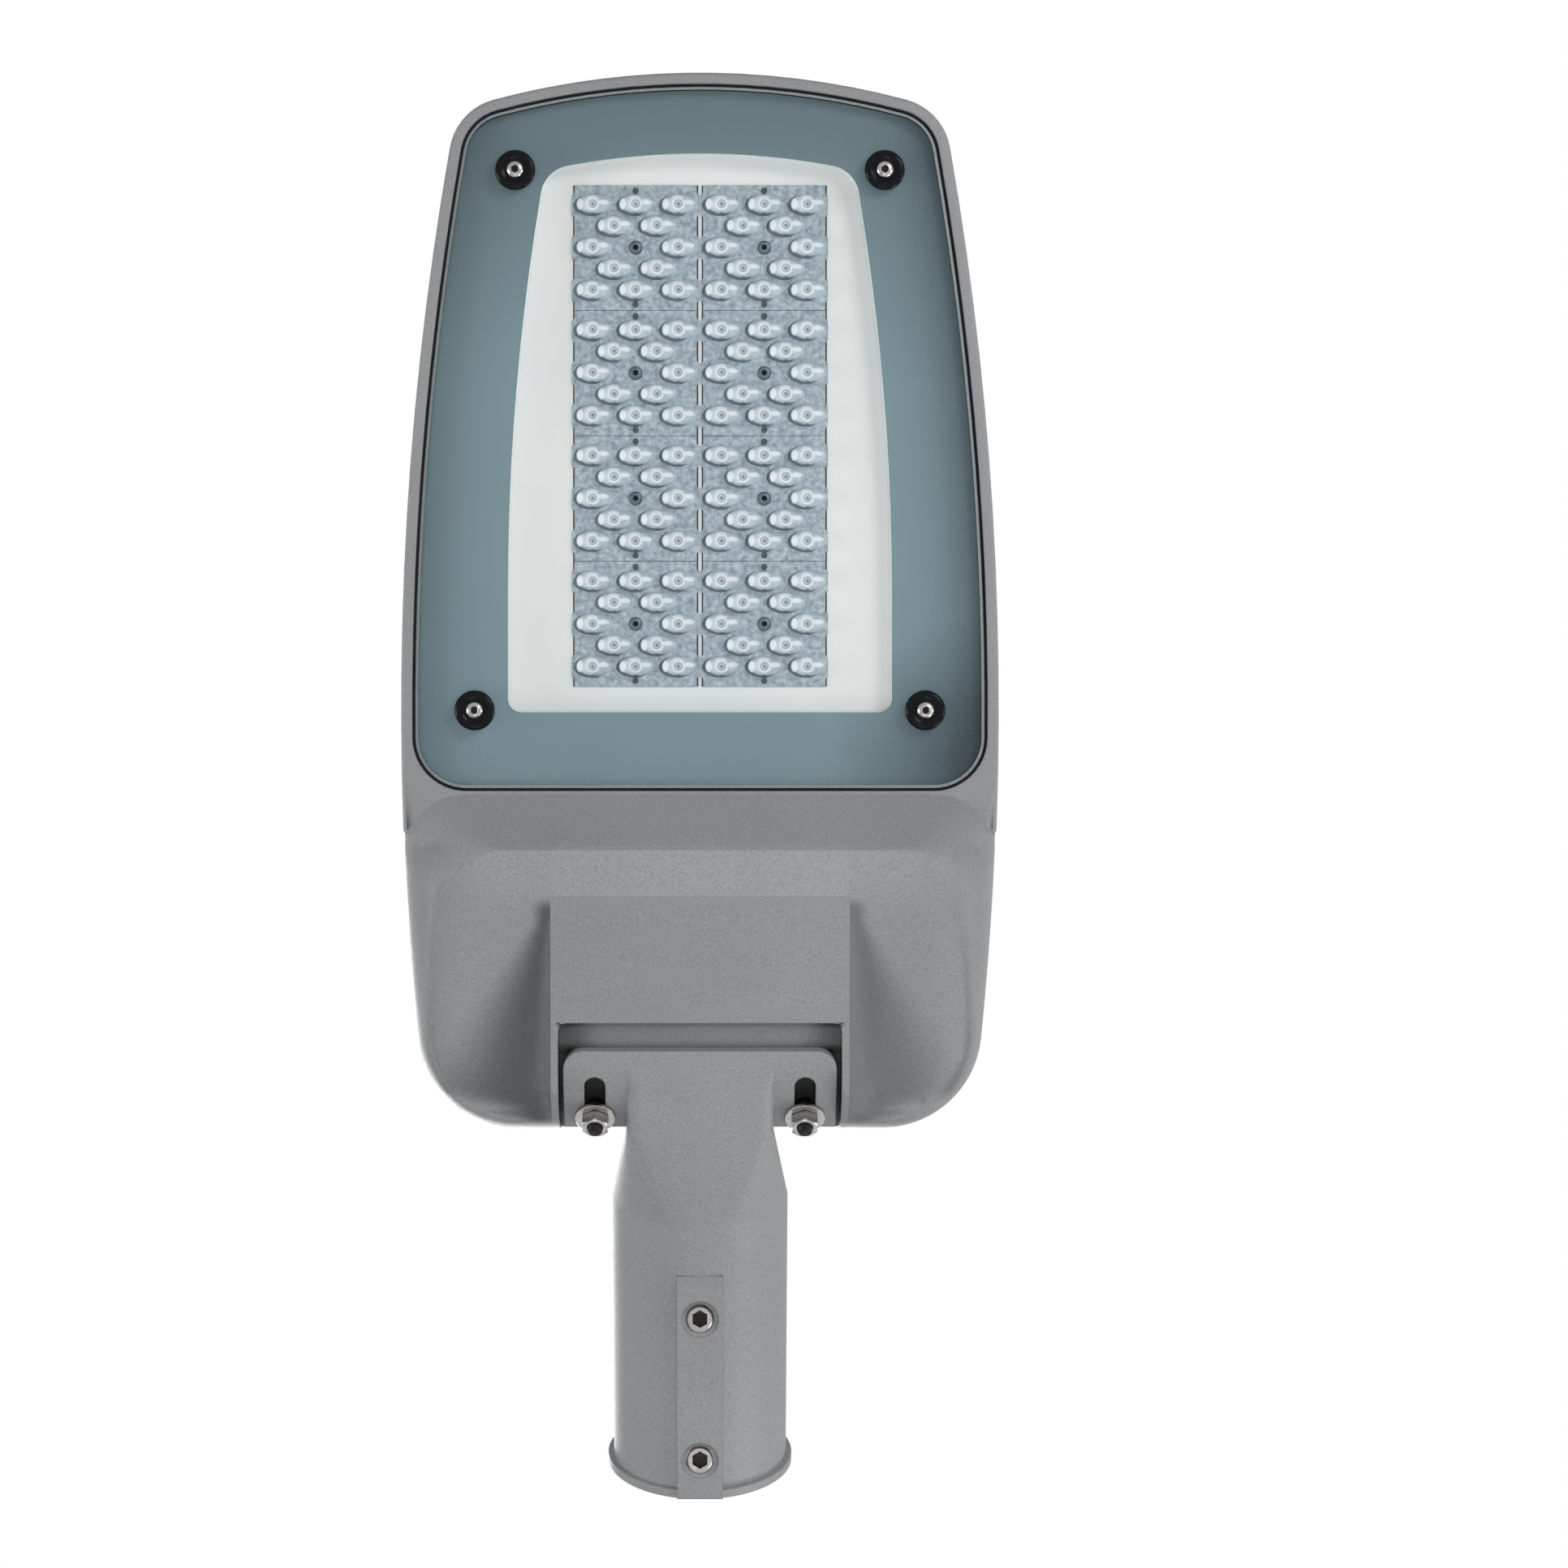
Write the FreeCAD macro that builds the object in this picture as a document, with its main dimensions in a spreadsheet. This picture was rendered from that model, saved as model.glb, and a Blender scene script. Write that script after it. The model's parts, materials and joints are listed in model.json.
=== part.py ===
# LED street light head: a die-cast housing with a glazed LED bay and a gear compartment, on a tilting
# pole spigot.
import FreeCAD, Part
import math
import os

import Sketcher

os.makedirs("parts", exist_ok=True)
doc = FreeCAD.newDocument("street_light_head")
Vector = FreeCAD.Vector

# Driving dimensions, in millimetres and degrees.
#
# The housing has its own frame: y runs from the rear edge towards the nose, z is up, and z = 0 is the
# lower edge of the rim round the glass. The spigot has its own frame too: y runs up the tube from the
# mouth of the pole socket. Both are placed in the frame of the part, whose origin is the socket's mouth.
SIZES = {
    # housing outline, seen from below
    "head_length": 422.0,
    "head_half_width": 119.4,
    "widest_y": 168.0,
    "side_radius": 1300.0,
    "nose_radius": 320.0,
    "nose_corner": 24.0,
    "rear_corner": 40.0,
    # housing heights
    "belt_z": 8.0,
    "gear_height": 46.0,
    "roof_inset": 3.5,
    "roof_flat_end": 150.0,
    "nose_height": 31.0,
    "roof_round": 5.0,
    "bulge_depth": 28.0,
    "bulge_front_y": 133.5,
    "bulge_front_run": 21.5,
    "bulge_front_corner": 24.0,
    "bulge_side_run": 25.0,
    "bulge_rear_run": 32.0,
    "bulge_corner_loss": 16.0,
    "slab_rear_y": 118.0,
    "rim_round": 1.6,
    "shoulder_start_y": 95.0,
    "shoulder_drop": 11.0,
    "block_half_width": 58.6,
    "block_side_slope": 1.92,
    "block_slope": 3.0,
    "block_start_y": 98.0,
    # cooling fins on the roof
    "fin_gap": 7.0,
    "fin_pitch": 12.0,
    "fin_count": 15.0,
    "fin_floor": 21.0,
    "fin_start_y": 166.0,
    # gear compartment
    "cavity_floor": 3.0,
    "cavity_inset": 8.5,
    "cavity_rear_y": 8.0,
    "cavity_front_y": 126.0,
    "cavity_corner": 12.0,
    "parting_z": 33.0,
    "seal_thickness": 1.5,
    "seal_inset": 3.3,
    "cover_gap": 0.5,
    "cover_wall": 3.0,
    "cover_round": 3.0,
    "boss_radius": 6.0,
    "well_half_width": 54.0,
    "well_rear_y": 52.0,
    "well_front_y": 108.0,
    "well_depth": 24.0,
    "cover_screw_radius": 2.5,
    "cover_screw_length": 24.0,
    "cover_head_radius": 4.5,
    "cover_head_height": 3.5,
    "cover_screw_sink": 4.2,
    "cover_screw_depth": 16.0,
    "cover_screw_socket": 4.0,
    "screw_rear_y": 20.0,
    "screw_rear_in": 19.0,
    "screw_side_y": 78.0,
    "screw_side_in": 12.3,
    "screw_front_y": 137.0,
    "screw_front_in": 19.0,
    "duct_radius": 4.0,
    "duct_height": 12.0,
    "grommet_wall": 1.2,
    "grommet_length": 10.0,
    "grommet_lip": 2.5,
    "grommet_lip_thickness": 1.5,
    # glass and LED bay
    "rim_width": 4.5,
    "rim_gap": 2.0,
    "glass_bottom_y": 137.0,
    "glass_corner": 19.5,
    "glass_set_back": 1.0,
    "glass_thickness": 4.0,
    "print_thickness": 0.2,
    "gasket_thickness": 2.3,
    "gasket_width": 9.0,
    "gasket_sink": 0.6,
    "window_half_width": 76.9,
    "window_bottom_y": 166.5,
    "window_top_y": 390.4,
    "window_bend_y": 215.0,
    "window_side_radius": 970.0,
    "window_top_radius": 290.0,
    "window_corner_low": 5.5,
    "window_corner_high": 13.0,
    "bay_margin": 6.0,
    "bay_depth": 9.0,
    "fixing_front_x": 73.8,
    "fixing_front_y": 383.0,
    "fixing_rear_x": 90.0,
    "fixing_rear_y": 167.2,
    "fixing_radius": 2.5,
    "fixing_length": 17.0,
    "washer_radius": 8.0,
    "washer_thickness": 1.6,
    "washer_dish": 0.96,
    "washer_recess": 4.4,
    "fixing_head_radius": 3.6,
    "fixing_head_height": 2.0,
    "fixing_socket": 3.0,
    "fit_gap": 0.3,
    # LED array and the white tray round it
    "array_centre_y": 278.0,
    "module_side": 50.0,
    "module_gap_x": 1.8,
    "module_gap_y": 0.5,
    "board_gap": 0.4,
    "board_thickness": 1.6,
    "chip_side": 3.5,
    "chip_height": 0.8,
    "plate_gap": 0.2,
    "plate_thickness": 3.0,
    "plate_wall": 1.8,
    "plate_recess": 1.4,
    "dome_height": 4.5,
    "dome_length": 15.6,
    "dome_width": 8.2,
    "dome_cut_x": 3.7,
    "dome_cut_y": 3.1,
    "dome_bevel": 1.8,
    "dome_pitch_x": 17.2,
    "dome_pitch_y": 8.6,
    "lens_screw_radius": 1.5,
    "lens_screw_head": 2.8,
    "lens_screw_length": 8.0,
    "lens_screw_head_height": 1.4,
    "tray_thickness": 1.0,
    "tray_base_z": 12.6,
    "tray_wall_run": 5.0,
    "tray_flange": 4.0,
    "tray_foot": 1.0,
    "tray_gap": 0.2,
    # tilting saddle joint, shared by the housing and the spigot
    "tilt_degrees": 14.5,
    "tilt_travel": 15.0,
    "centre_y": 48.2,
    "flange_sink": 0.7,
    "flange_radius": 60.0,
    "flange_thickness": 5.0,
    "flange_half_width": 53.7,
    "flange_corner": 8.0,
    "flange_end": 36.5,
    "pad_thickness": 1.6,
    "running_gap": 0.3,
    "recess_corner": 3.5,
    "recess_end": 75.0,
    "recess_start": 4.0,
    "stud_x": 41.4,
    "stud_angle": 44.0,
    "stud_radius": 3.0,
    "slot_radius": 4.2,
    "stud_depth": 6.1,
    "stud_reach": 8.6,
    "stud_washer_radius": 8.0,
    "stud_washer_thickness": 1.6,
    "nut_flats": 10.0,
    "nut_height": 5.0,
    "cheek": 3.0,
    "seat_hole_start": 36.5,
    "seat_hole_end": 47.5,
    "seat_hole_half_width": 14.0,
    "seat_hole_depth": 15.0,
    # spigot
    "socket_to_centre": 190.7,
    "tube_radius": 35.7,
    "socket_radius": 31.0,
    "socket_length": 100.0,
    "collar_radius": 38.0,
    "collar_length": 3.5,
    "neck_start": 117.0,
    "waist_start": 155.0,
    "waist_end": 174.0,
    "waist_half_width": 29.2,
    "fan_half_width": 36.1,
    "heel_height": 17.5,
    "ridge_half_width": 12.8,
    "neck_corner": 6.0,
    "neck_wall": 4.0,
    "sole_wall": 3.0,
    "door_half_width": 20.0,
    "door_ahead": 10.0,
    "door_behind": 5.5,
    "pole_stop": 4.0,
    "pad_margin": 1.5,
    "strip_half_width": 9.3,
    "strip_height": 2.3,
    "strip_length": 96.0,
    "set_screw_first": 17.0,
    "set_screw_pitch": 61.5,
    "set_screw_radius": 5.6,
    "set_screw_sink": 1.0,
    "set_screw_socket": 6.0,
    "screw_seat_radius": 7.5,
    "screw_seat_depth": 2.2,
    # what the gear compartment holds
    "driver_length": 150.0,
    "driver_width": 62.0,
    "driver_height": 34.0,
    "driver_y": 91.0,
    "driver_tab": 9.0,
    "driver_tab_inset": 8.0,
    "driver_tab_height": 3.0,
    "driver_screw_radius": 2.0,
    "driver_screw_head": 3.8,
    "driver_corner": 5.0,
    "block_x": 58.0,
    "block_y": 30.0,
    "terminal_length": 46.0,
    "terminal_width": 20.0,
    "terminal_height": 22.0,
    "terminal_ways": 3.0,
    "terminal_gap": 3.0,
    "terminal_shelf": 4.0,
    "terminal_step": 5.0,
    "arrester_length": 44.0,
    "arrester_width": 28.0,
    "arrester_height": 20.0,
    "arrester_corner": 3.0,
}

sheet = doc.addObject("Spreadsheet::Sheet", "Sizes")
for row, (name, number) in enumerate(SIZES.items(), start=1):
    sheet.set(f"A{row}", name)
    sheet.set(f"B{row}", str(number))
    sheet.setAlias(f"B{row}", name)
doc.recompute()


class Size:
    """A number that remembers the sheet expression it comes from."""

    def __init__(self, value, text=None):
        self.value = float(value)
        self.text = text or f"({self.value!r})"
        self.fixed = text is None

    def __add__(self, other):
        other = as_size(other)
        return Size(self.value + other.value, f"({self.text} + {other.text})")

    def __sub__(self, other):
        other = as_size(other)
        return Size(self.value - other.value, f"({self.text} - {other.text})")

    def __mul__(self, other):
        other = as_size(other)
        return Size(self.value * other.value, f"({self.text} * {other.text})")

    def __truediv__(self, other):
        other = as_size(other)
        return Size(self.value / other.value, f"({self.text} / {other.text})")

    def __radd__(self, other):
        return as_size(other) + self

    def __rsub__(self, other):
        return as_size(other) - self

    def __rmul__(self, other):
        return as_size(other) * self

    def __neg__(self):
        return Size(-self.value, f"(-1 * {self.text})")

    def __float__(self):
        return self.value


def as_size(number):
    return number if isinstance(number, Size) else Size(number)


def size(name):
    return Size(SIZES[name], f"<<Sizes>>.{name}")


def sine(degrees):
    degrees = as_size(degrees)
    return Size(math.sin(math.radians(degrees.value)), f"sin({degrees.text} * 1 deg)")


def cosine(degrees):
    degrees = as_size(degrees)
    return Size(math.cos(math.radians(degrees.value)), f"cos({degrees.text} * 1 deg)")


def root(number):
    return Size(math.sqrt(number.value), f"sqrt({number.text})")


def bind(thing, prop, number):
    """Give a property its value, and tie it to the sheet."""
    number = as_size(number)
    if "." not in prop and not prop.startswith("Constraints"):
        setattr(thing, prop, number.value)
    thing.setExpression(prop, number.text)


# Sketches. A sketch lies on one of its body's own planes, at a height above it that the sheet gives.


def new_body(label):
    body = doc.addObject("PartDesign::Body", label)
    body.Label = label
    return body


def new_sketch(body, plane, height=0.0):
    sketch = body.newObject("Sketcher::SketchObject", f"{body.Name}_sketch")
    support = [feature for feature in body.Origin.OriginFeatures if feature.Role == plane][0]
    sketch.AttachmentSupport = [(support, "")]
    sketch.MapMode = "FlatFace"
    height = as_size(height)
    sketch.AttachmentOffset = FreeCAD.Placement(Vector(0, 0, height.value), FreeCAD.Rotation())
    sketch.setExpression("AttachmentOffset.Base.z", height.text)
    return sketch


def tie(sketch, number, kind, *where):
    """Add a dimension to a sketch and tie it to the sheet."""
    number = as_size(number)
    index = sketch.addConstraint(Sketcher.Constraint(kind, *where, number.value))
    if not number.fixed:
        sketch.setExpression(f"Constraints[{index}]", number.text)


def pin(sketch, edge, end, x, y):
    """Hold one point of an edge at x, y. A coordinate of zero puts it on the axis."""
    for number, kind, axis in ((as_size(x), "DistanceX", -2), (as_size(y), "DistanceY", -1)):
        if abs(number.value) < 1e-9:
            sketch.addConstraint(Sketcher.Constraint("PointOnObject", edge, end, axis))
        else:
            tie(sketch, number, kind, -1, 1, edge, end)


def add_circle(sketch, x, y, radius):
    centre = Vector(float(x), float(y), 0)
    edge = sketch.addGeometry(Part.Circle(centre, Vector(0, 0, 1), float(radius)))
    pin(sketch, edge, 3, x, y)
    tie(sketch, radius, "Radius", edge)
    return edge


def arc_between(start, end, centre, clockwise):
    """The arc from start to end round centre, and the numbers of its ends in that order."""
    first, last = (end, start) if clockwise else (start, end)
    a0 = math.atan2(first[1] - centre[1], first[0] - centre[0])
    a1 = math.atan2(last[1] - centre[1], last[0] - centre[0])
    if a1 <= a0:
        a1 += 2 * math.pi
    radius = math.hypot(start[0] - centre[0], start[1] - centre[1])
    circle = Part.Circle(Vector(centre[0], centre[1], 0), Vector(0, 0, 1), radius)
    return Part.ArcOfCircle(circle, a0, a1), ((2, 1) if clockwise else (1, 2))


def add_profile(sketch, points, arcs=None):
    """A closed profile through points. arcs gives edge number: (centre, radius, clockwise).

    A half circle can't be held by its radius, so it says which coordinate of its centre holds it instead.
    """
    arcs = arcs or {}
    flat = [(float(x), float(y)) for x, y in points]
    ends = []
    for number, start in enumerate(flat):
        end = flat[(number + 1) % len(flat)]
        if number in arcs:
            centre, radius, clockwise = arcs[number][:3]
            centre = (float(centre[0]), float(centre[1]))
            curve, order = arc_between(start, end, centre, clockwise)
        else:
            curve, order = Part.LineSegment(Vector(*start, 0), Vector(*end, 0)), (1, 2)
        ends.append((sketch.addGeometry(curve), order))
    for number, (edge, order) in enumerate(ends):
        following, next_order = ends[(number + 1) % len(ends)]
        sketch.addConstraint(Sketcher.Constraint("Coincident", edge, order[1], following, next_order[0]))
        pin(sketch, edge, order[0], *points[number])
        if number in arcs and len(arcs[number]) == 3:
            tie(sketch, arcs[number][1], "Radius", edge)
        elif number in arcs:
            middle, held = arcs[number][0], arcs[number][3]
            kind, distance = ("DistanceX", middle[0]) if held == "x" else ("DistanceY", middle[1])
            tie(sketch, distance, kind, -1, 1, edge, 3)


def add_box(sketch, x0, y0, x1, y1):
    add_profile(sketch, [(x0, y0), (x1, y0), (x1, y1), (x0, y1)])


def add_slot(sketch, x0, y0, x1, y1, radius):
    """A slot with round ends, from one centre to the other, along either axis of the sketch."""
    x0, y0, x1, y1 = (as_size(number) for number in (x0, y0, x1, y1))
    if abs(x1.value - x0.value) > abs(y1.value - y0.value):
        points = [(x0, y0 - radius), (x1, y1 - radius), (x1, y1 + radius), (x0, y0 + radius)]
        hold = "x"
    else:
        points = [(x1 + radius, y0), (x1 + radius, y1), (x0 - radius, y1), (x0 - radius, y0)]
        hold = "y"
    add_profile(sketch, points, {1: ((x1, y1), radius, False, hold), 3: ((x0, y0), radius, False, hold)})


# Outlines that are the same left and right. Each is a chain of supports from the rear line round one side
# to the front: a level line, a circle about a centre, or an upright line, with round corners between them.


class Level:
    def __init__(self, y):
        self.y = as_size(y)


class Upright:
    """An upright line that the circle before or after it runs into smoothly."""


class Round:
    def __init__(self, x, y, radius):
        self.x, self.y, self.radius = as_size(x), as_size(y), as_size(radius)


def crossings(first, second, r, low):
    """Centre of a corner circle of radius r that touches both supports from inside."""
    if isinstance(first, Level):
        y = first.y.value + (r if low else -r)
        if isinstance(second, Round):
            reach = second.radius.value - r
            return second.x.value + math.sqrt(reach**2 - (y - second.y.value) ** 2), y
        return second.edge_x - r, y
    if isinstance(second, Level):
        return crossings(second, first, r, False)
    x1, y1, reach1 = first.x.value, first.y.value, first.radius.value - r
    x2, y2, reach2 = second.x.value, second.y.value, second.radius.value - r
    gap = math.hypot(x2 - x1, y2 - y1)
    along = (gap**2 + reach1**2 - reach2**2) / (2 * gap)
    across = math.sqrt(reach1**2 - along**2)
    ux, uy = (x2 - x1) / gap, (y2 - y1) / gap
    both = [(x1 + along * ux - s * across * uy, y1 + along * uy + s * across * ux) for s in (1, -1)]
    return max(both)


def touch(support, centre, r):
    """Where a corner circle touches a support."""
    if isinstance(support, Level):
        return centre[0], support.y.value
    if isinstance(support, Upright):
        return centre[0] + r, centre[1]
    dx, dy = centre[0] - support.x.value, centre[1] - support.y.value
    scale = support.radius.value / math.hypot(dx, dy)
    return support.x.value + dx * scale, support.y.value + dy * scale


def add_outline(sketch, bottom, sides, top, corners):
    """Draw the closed outline and hold it by its radii, its centres and smooth joins."""
    chain = [bottom, *sides, top]
    for here, after in zip(sides, sides[1:]):
        if isinstance(here, Upright):
            here.edge_x = (after.x + after.radius).value
    joins = []
    for number, radius in enumerate(corners):
        here, after = chain[number], chain[number + 1]
        if radius is None:
            point = ((after.x + after.radius).value, after.y.value)
            joins.append((point, None, point))
        else:
            r = float(radius)
            centre = crossings(here, after, r, number == 0)
            joins.append((touch(here, centre, r), centre, touch(after, centre, r)))
    edges = []
    for number, (start, centre, end) in enumerate(joins):
        if centre is not None:
            edges.append((as_size(corners[number]), start, end, centre))
        if number + 1 < len(joins):
            edges.append((sides[number], end, joins[number + 1][0], None))
    right = edges
    left = []
    for what, start, end, centre in reversed(edges):
        mirrored = None if centre is None else (-centre[0], centre[1])
        left.append((what, (-end[0], end[1]), (-start[0], start[1]), mirrored))
    first, last = joins[0][0], joins[-1][2]
    base = sketch.GeometryCount
    across = [(bottom, (-first[0], first[1]), first, None)]
    over = [(top, last, (-last[0], last[1]), None)]
    loop = across + right + over + left
    for number, (what, start, end, centre) in enumerate(loop):
        side = -1 if number > len(right) + 1 else 1
        if isinstance(what, Size):
            edge = sketch.addGeometry(arc_between(start, end, centre, False)[0])
            tie(sketch, what, "Radius", edge)
        elif isinstance(what, Round):
            middle = (side * what.x.value, what.y.value)
            edge = sketch.addGeometry(arc_between(start, end, middle, False)[0])
            tie(sketch, what.radius, "Radius", edge)
            pin(sketch, edge, 3, what.x if side > 0 else -what.x, what.y)
        else:
            edge = sketch.addGeometry(Part.LineSegment(Vector(*start, 0), Vector(*end, 0)))
            if isinstance(what, Level):
                sketch.addConstraint(Sketcher.Constraint("Horizontal", edge))
                if abs(what.y.value) < 1e-9:
                    sketch.addConstraint(Sketcher.Constraint("PointOnObject", edge, 1, -1))
                else:
                    tie(sketch, what.y, "DistanceY", -1, 1, edge, 1)
            else:
                sketch.addConstraint(Sketcher.Constraint("Vertical", edge))
    for edge in range(len(loop)):
        following = (edge + 1) % len(loop)
        sketch.addConstraint(Sketcher.Constraint("Tangent", base + edge, 2, base + following, 1))


# Features


def feature(body, kind, sketch):
    made = body.newObject(f"PartDesign::{kind}", f"{body.Name}_{kind.lower()}")
    made.Profile = sketch
    return made


def pad(body, sketch, length, backwards=False, both=False):
    made = feature(body, "Pad", sketch)
    bind(made, "Length", length)
    made.Reversed = backwards
    made.SideType = "Symmetric" if both else "One side"
    return made


def pocket(body, sketch, length, backwards=False, both=False):
    """Cut a sketch away from the body, against the sketch's normal unless backwards."""
    made = feature(body, "Pocket", sketch)
    bind(made, "Length", length)
    made.Reversed = backwards
    made.SideType = "Symmetric" if both else "One side"
    doc.recompute()
    if made.Shape.Volume > made.BaseFeature.Shape.Volume - 0.01:
        raise RuntimeError(f"{made.Name} cuts nothing")
    return made


def loft(body, sketches, ruled=True, cut=False):
    made = feature(body, "SubtractiveLoft" if cut else "AdditiveLoft", sketches[0])
    made.Sections = sketches[1:]
    made.Ruled = ruled
    doc.recompute()
    return made


def mirrored(body, original, plane):
    made = body.newObject("PartDesign::Mirrored", f"{body.Name}_mirrored")
    made.Originals = [original]
    made.MirrorPlane = ([f for f in body.Origin.OriginFeatures if f.Role == plane][0], [""])
    body.Tip = made
    doc.recompute()
    return made


def repeated(body, original, axis, length, count):
    made = body.newObject("PartDesign::LinearPattern", f"{body.Name}_pattern")
    made.Originals = [original]
    made.Direction = ([f for f in body.Origin.OriginFeatures if f.Role == axis][0], [""])
    bind(made, "Length", length)
    made.Occurrences = int(count.value)
    made.setExpression("Occurrences", count.text)
    body.Tip = made
    doc.recompute()
    return made


def rounded(body, radius, wanted, kind="Fillet"):
    """Round or bevel the edges of the body's last feature that wanted(edge) picks."""
    doc.recompute()
    base = body.Tip
    names = [f"Edge{n}" for n, edge in enumerate(base.Shape.Edges, start=1) if wanted(edge)]
    if not names:
        raise RuntimeError(f"no edge of {body.Name} to round")
    made = body.newObject(f"PartDesign::{kind}", f"{body.Name}_{kind.lower()}")
    made.Base = (base, names)
    bind(made, "Radius" if kind == "Fillet" else "Size", radius)
    doc.recompute()
    return made


# The saddle joint. Angles are measured about its centre line from straight down, towards the rear. The centre
# stands over the belly so that the flange keeps its place in the recess when the flange's radius changes.

CENTRE_Z = size("flange_radius") - size("bulge_depth") + size("flange_sink")
HEAD = {
    "y": size("socket_to_centre") * cosine(size("tilt_degrees"))
    + (size("flange_radius") - size("tube_radius")) * sine(size("tilt_degrees"))
    - size("centre_y"),
    "z": (size("flange_radius") - size("tube_radius")) * cosine(size("tilt_degrees"))
    - size("socket_to_centre") * sine(size("tilt_degrees"))
    - CENTRE_Z,
}

# How far a cut runs past what it cuts, how far a form reaches into the one it joins, and the slack round a
# screw in its thread and in a plain hole.
OVERCUT = 5
OVERLAP = 2
THREAD_GAP = 0.05
SCREW_GAP = 0.1
SEAT_RADIUS = size("flange_radius") - size("flange_thickness") - size("pad_thickness") - size("running_gap")


def place_on_head(thing):
    """Put a piece that is drawn in the housing's frame where the head hangs from the spigot."""
    thing.Placement = FreeCAD.Placement(Vector(0, HEAD["y"].value, HEAD["z"].value), FreeCAD.Rotation())
    thing.setExpression("Placement.Base.y", HEAD["y"].text)
    thing.setExpression("Placement.Base.z", HEAD["z"].text)


def place_on_spigot(thing):
    """Put a piece that is drawn in the spigot's frame on the tilted tube."""
    tilt = size("tilt_degrees")
    thing.Placement = FreeCAD.Placement(Vector(), FreeCAD.Rotation(Vector(1, 0, 0), -tilt.value))
    thing.setExpression("Placement.Rotation.Angle", tilt.text)
    thing.setExpression("Placement.Rotation.Axis.x", "-1")


def head_centre():
    return size("centre_y"), CENTRE_Z


def spigot_centre():
    return size("socket_to_centre"), size("flange_radius") - size("tube_radius")


def on_circle(centre, radius, degrees):
    """The point of a side view at a radius from the centre line, at an angle from straight down."""
    return centre[0] - radius * sine(degrees), centre[1] - radius * cosine(degrees)


def add_sector(sketch, centre, inner, outer, start, end):
    """A ring sector of a side view."""
    points = [
        on_circle(centre, outer, start),
        on_circle(centre, inner, start),
        on_circle(centre, inner, end),
        on_circle(centre, outer, end),
    ]
    add_profile(sketch, points, {1: (centre, inner, True), 3: (centre, outer, False)})


# The spigot: pole tube, neck and curved flange, cast in one.


def turned_sketch(body, centre, degrees, reach=0.0):
    """A sketch square to the direction at an angle from straight down, at a reach from the centre line."""
    degrees = as_size(degrees)
    y, z = on_circle(centre, as_size(reach), degrees)
    sketch = new_sketch(body, "XY_Plane", z)
    turn = FreeCAD.Rotation(Vector(-1, 0, 0), degrees.value)
    sketch.AttachmentOffset = FreeCAD.Placement(Vector(0, y.value, z.value), turn)
    sketch.setExpression("AttachmentOffset.Base.y", y.text)
    sketch.setExpression("AttachmentOffset.Rotation.Angle", degrees.text)
    return sketch


def station(body, y):
    """A sketch square to the spigot's tube, at a distance from the mouth."""
    return new_sketch(body, "XZ_Plane", -as_size(y))


def round_section(body, y, radius, flat_half_width):
    """The tube's circle in the eight stretches that the neck's section has."""
    sketch = station(body, y)
    low = flat_half_width
    side = radius * sine(20)
    high = radius * sine(30)

    def reach(number):
        return root(radius * radius - number * number)

    points = [
        (-low, -reach(low)),
        (low, -reach(low)),
        (reach(side), -side),
        (reach(side), side),
        (high, reach(high)),
        (-high, reach(high)),
        (-reach(side), side),
        (-reach(side), -side),
    ]
    add_profile(sketch, points, {n: ((0, 0), radius, False) for n in range(8)})
    return sketch


def box_section(body, y, half_width, low, high, corner):
    """A box with round corners, square to the tube."""
    sketch = station(body, y)
    right, left = half_width - corner, corner - half_width
    under, over = low + corner, high - corner
    points = [
        (left, low),
        (right, low),
        (half_width, under),
        (half_width, over),
        (right, high),
        (left, high),
        (-half_width, over),
        (-half_width, under),
    ]
    arcs = {
        1: ((right, under), corner, False),
        3: ((right, over), corner, False),
        5: ((left, over), corner, False),
        7: ((left, under), corner, False),
    }
    add_profile(sketch, points, arcs)
    return sketch


def cut_slots(body, centre, start, end, radius):
    """The two slots of the flange, cut square to the flange at the middle of their length."""
    middle = (as_size(start) + end) / 2
    half = (size("flange_radius") - size("flange_thickness") / 2) * sine((as_size(end) - start) / 2)
    sketch = turned_sketch(body, centre, middle)
    add_slot(sketch, size("stud_x"), -half, size("stud_x"), half, radius)
    add_slot(sketch, -size("stud_x"), -half, -size("stud_x"), half, radius)
    return pocket(body, sketch, size("flange_radius") * 1.2)


SLOT_LOW = size("stud_angle") - size("tilt_degrees")
SLOT_HIGH = SLOT_LOW - size("tilt_travel")
FLANGE_INNER = size("flange_radius") - size("flange_thickness")
SOLE = -size("tube_radius")
STRIP_FACE = SOLE - size("strip_height")
SCREW_WALL = -STRIP_FACE - size("socket_radius")
DOOR_FRONT = size("waist_end") + size("door_ahead")
DOOR_REAR = size("waist_start") + size("door_behind")


def cut_door(body, floor):
    """The cable's way through the flange, sunk from above down to the inside of the sole."""
    sketch = new_sketch(body, "XY_Plane", 0)
    add_box(sketch, -size("door_half_width"), DOOR_REAR, size("door_half_width"), DOOR_FRONT)
    return pocket(body, sketch, floor)


def screw_sketch(body, number, depth):
    """A sketch square to a set screw, at a depth along it from the strip's face. The screws stand upright."""
    lean = size("tilt_degrees")
    y = size("set_screw_first") + size("set_screw_pitch") * number - depth * sine(lean)
    z = STRIP_FACE + depth * cosine(lean)
    sketch = new_sketch(body, "XY_Plane", z)
    turn = FreeCAD.Rotation(Vector(1, 0, 0), lean.value)
    sketch.AttachmentOffset = FreeCAD.Placement(Vector(0, y.value, z.value), turn)
    sketch.setExpression("AttachmentOffset.Base.y", y.text)
    sketch.setExpression("AttachmentOffset.Rotation.Angle", lean.text)
    return sketch


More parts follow.
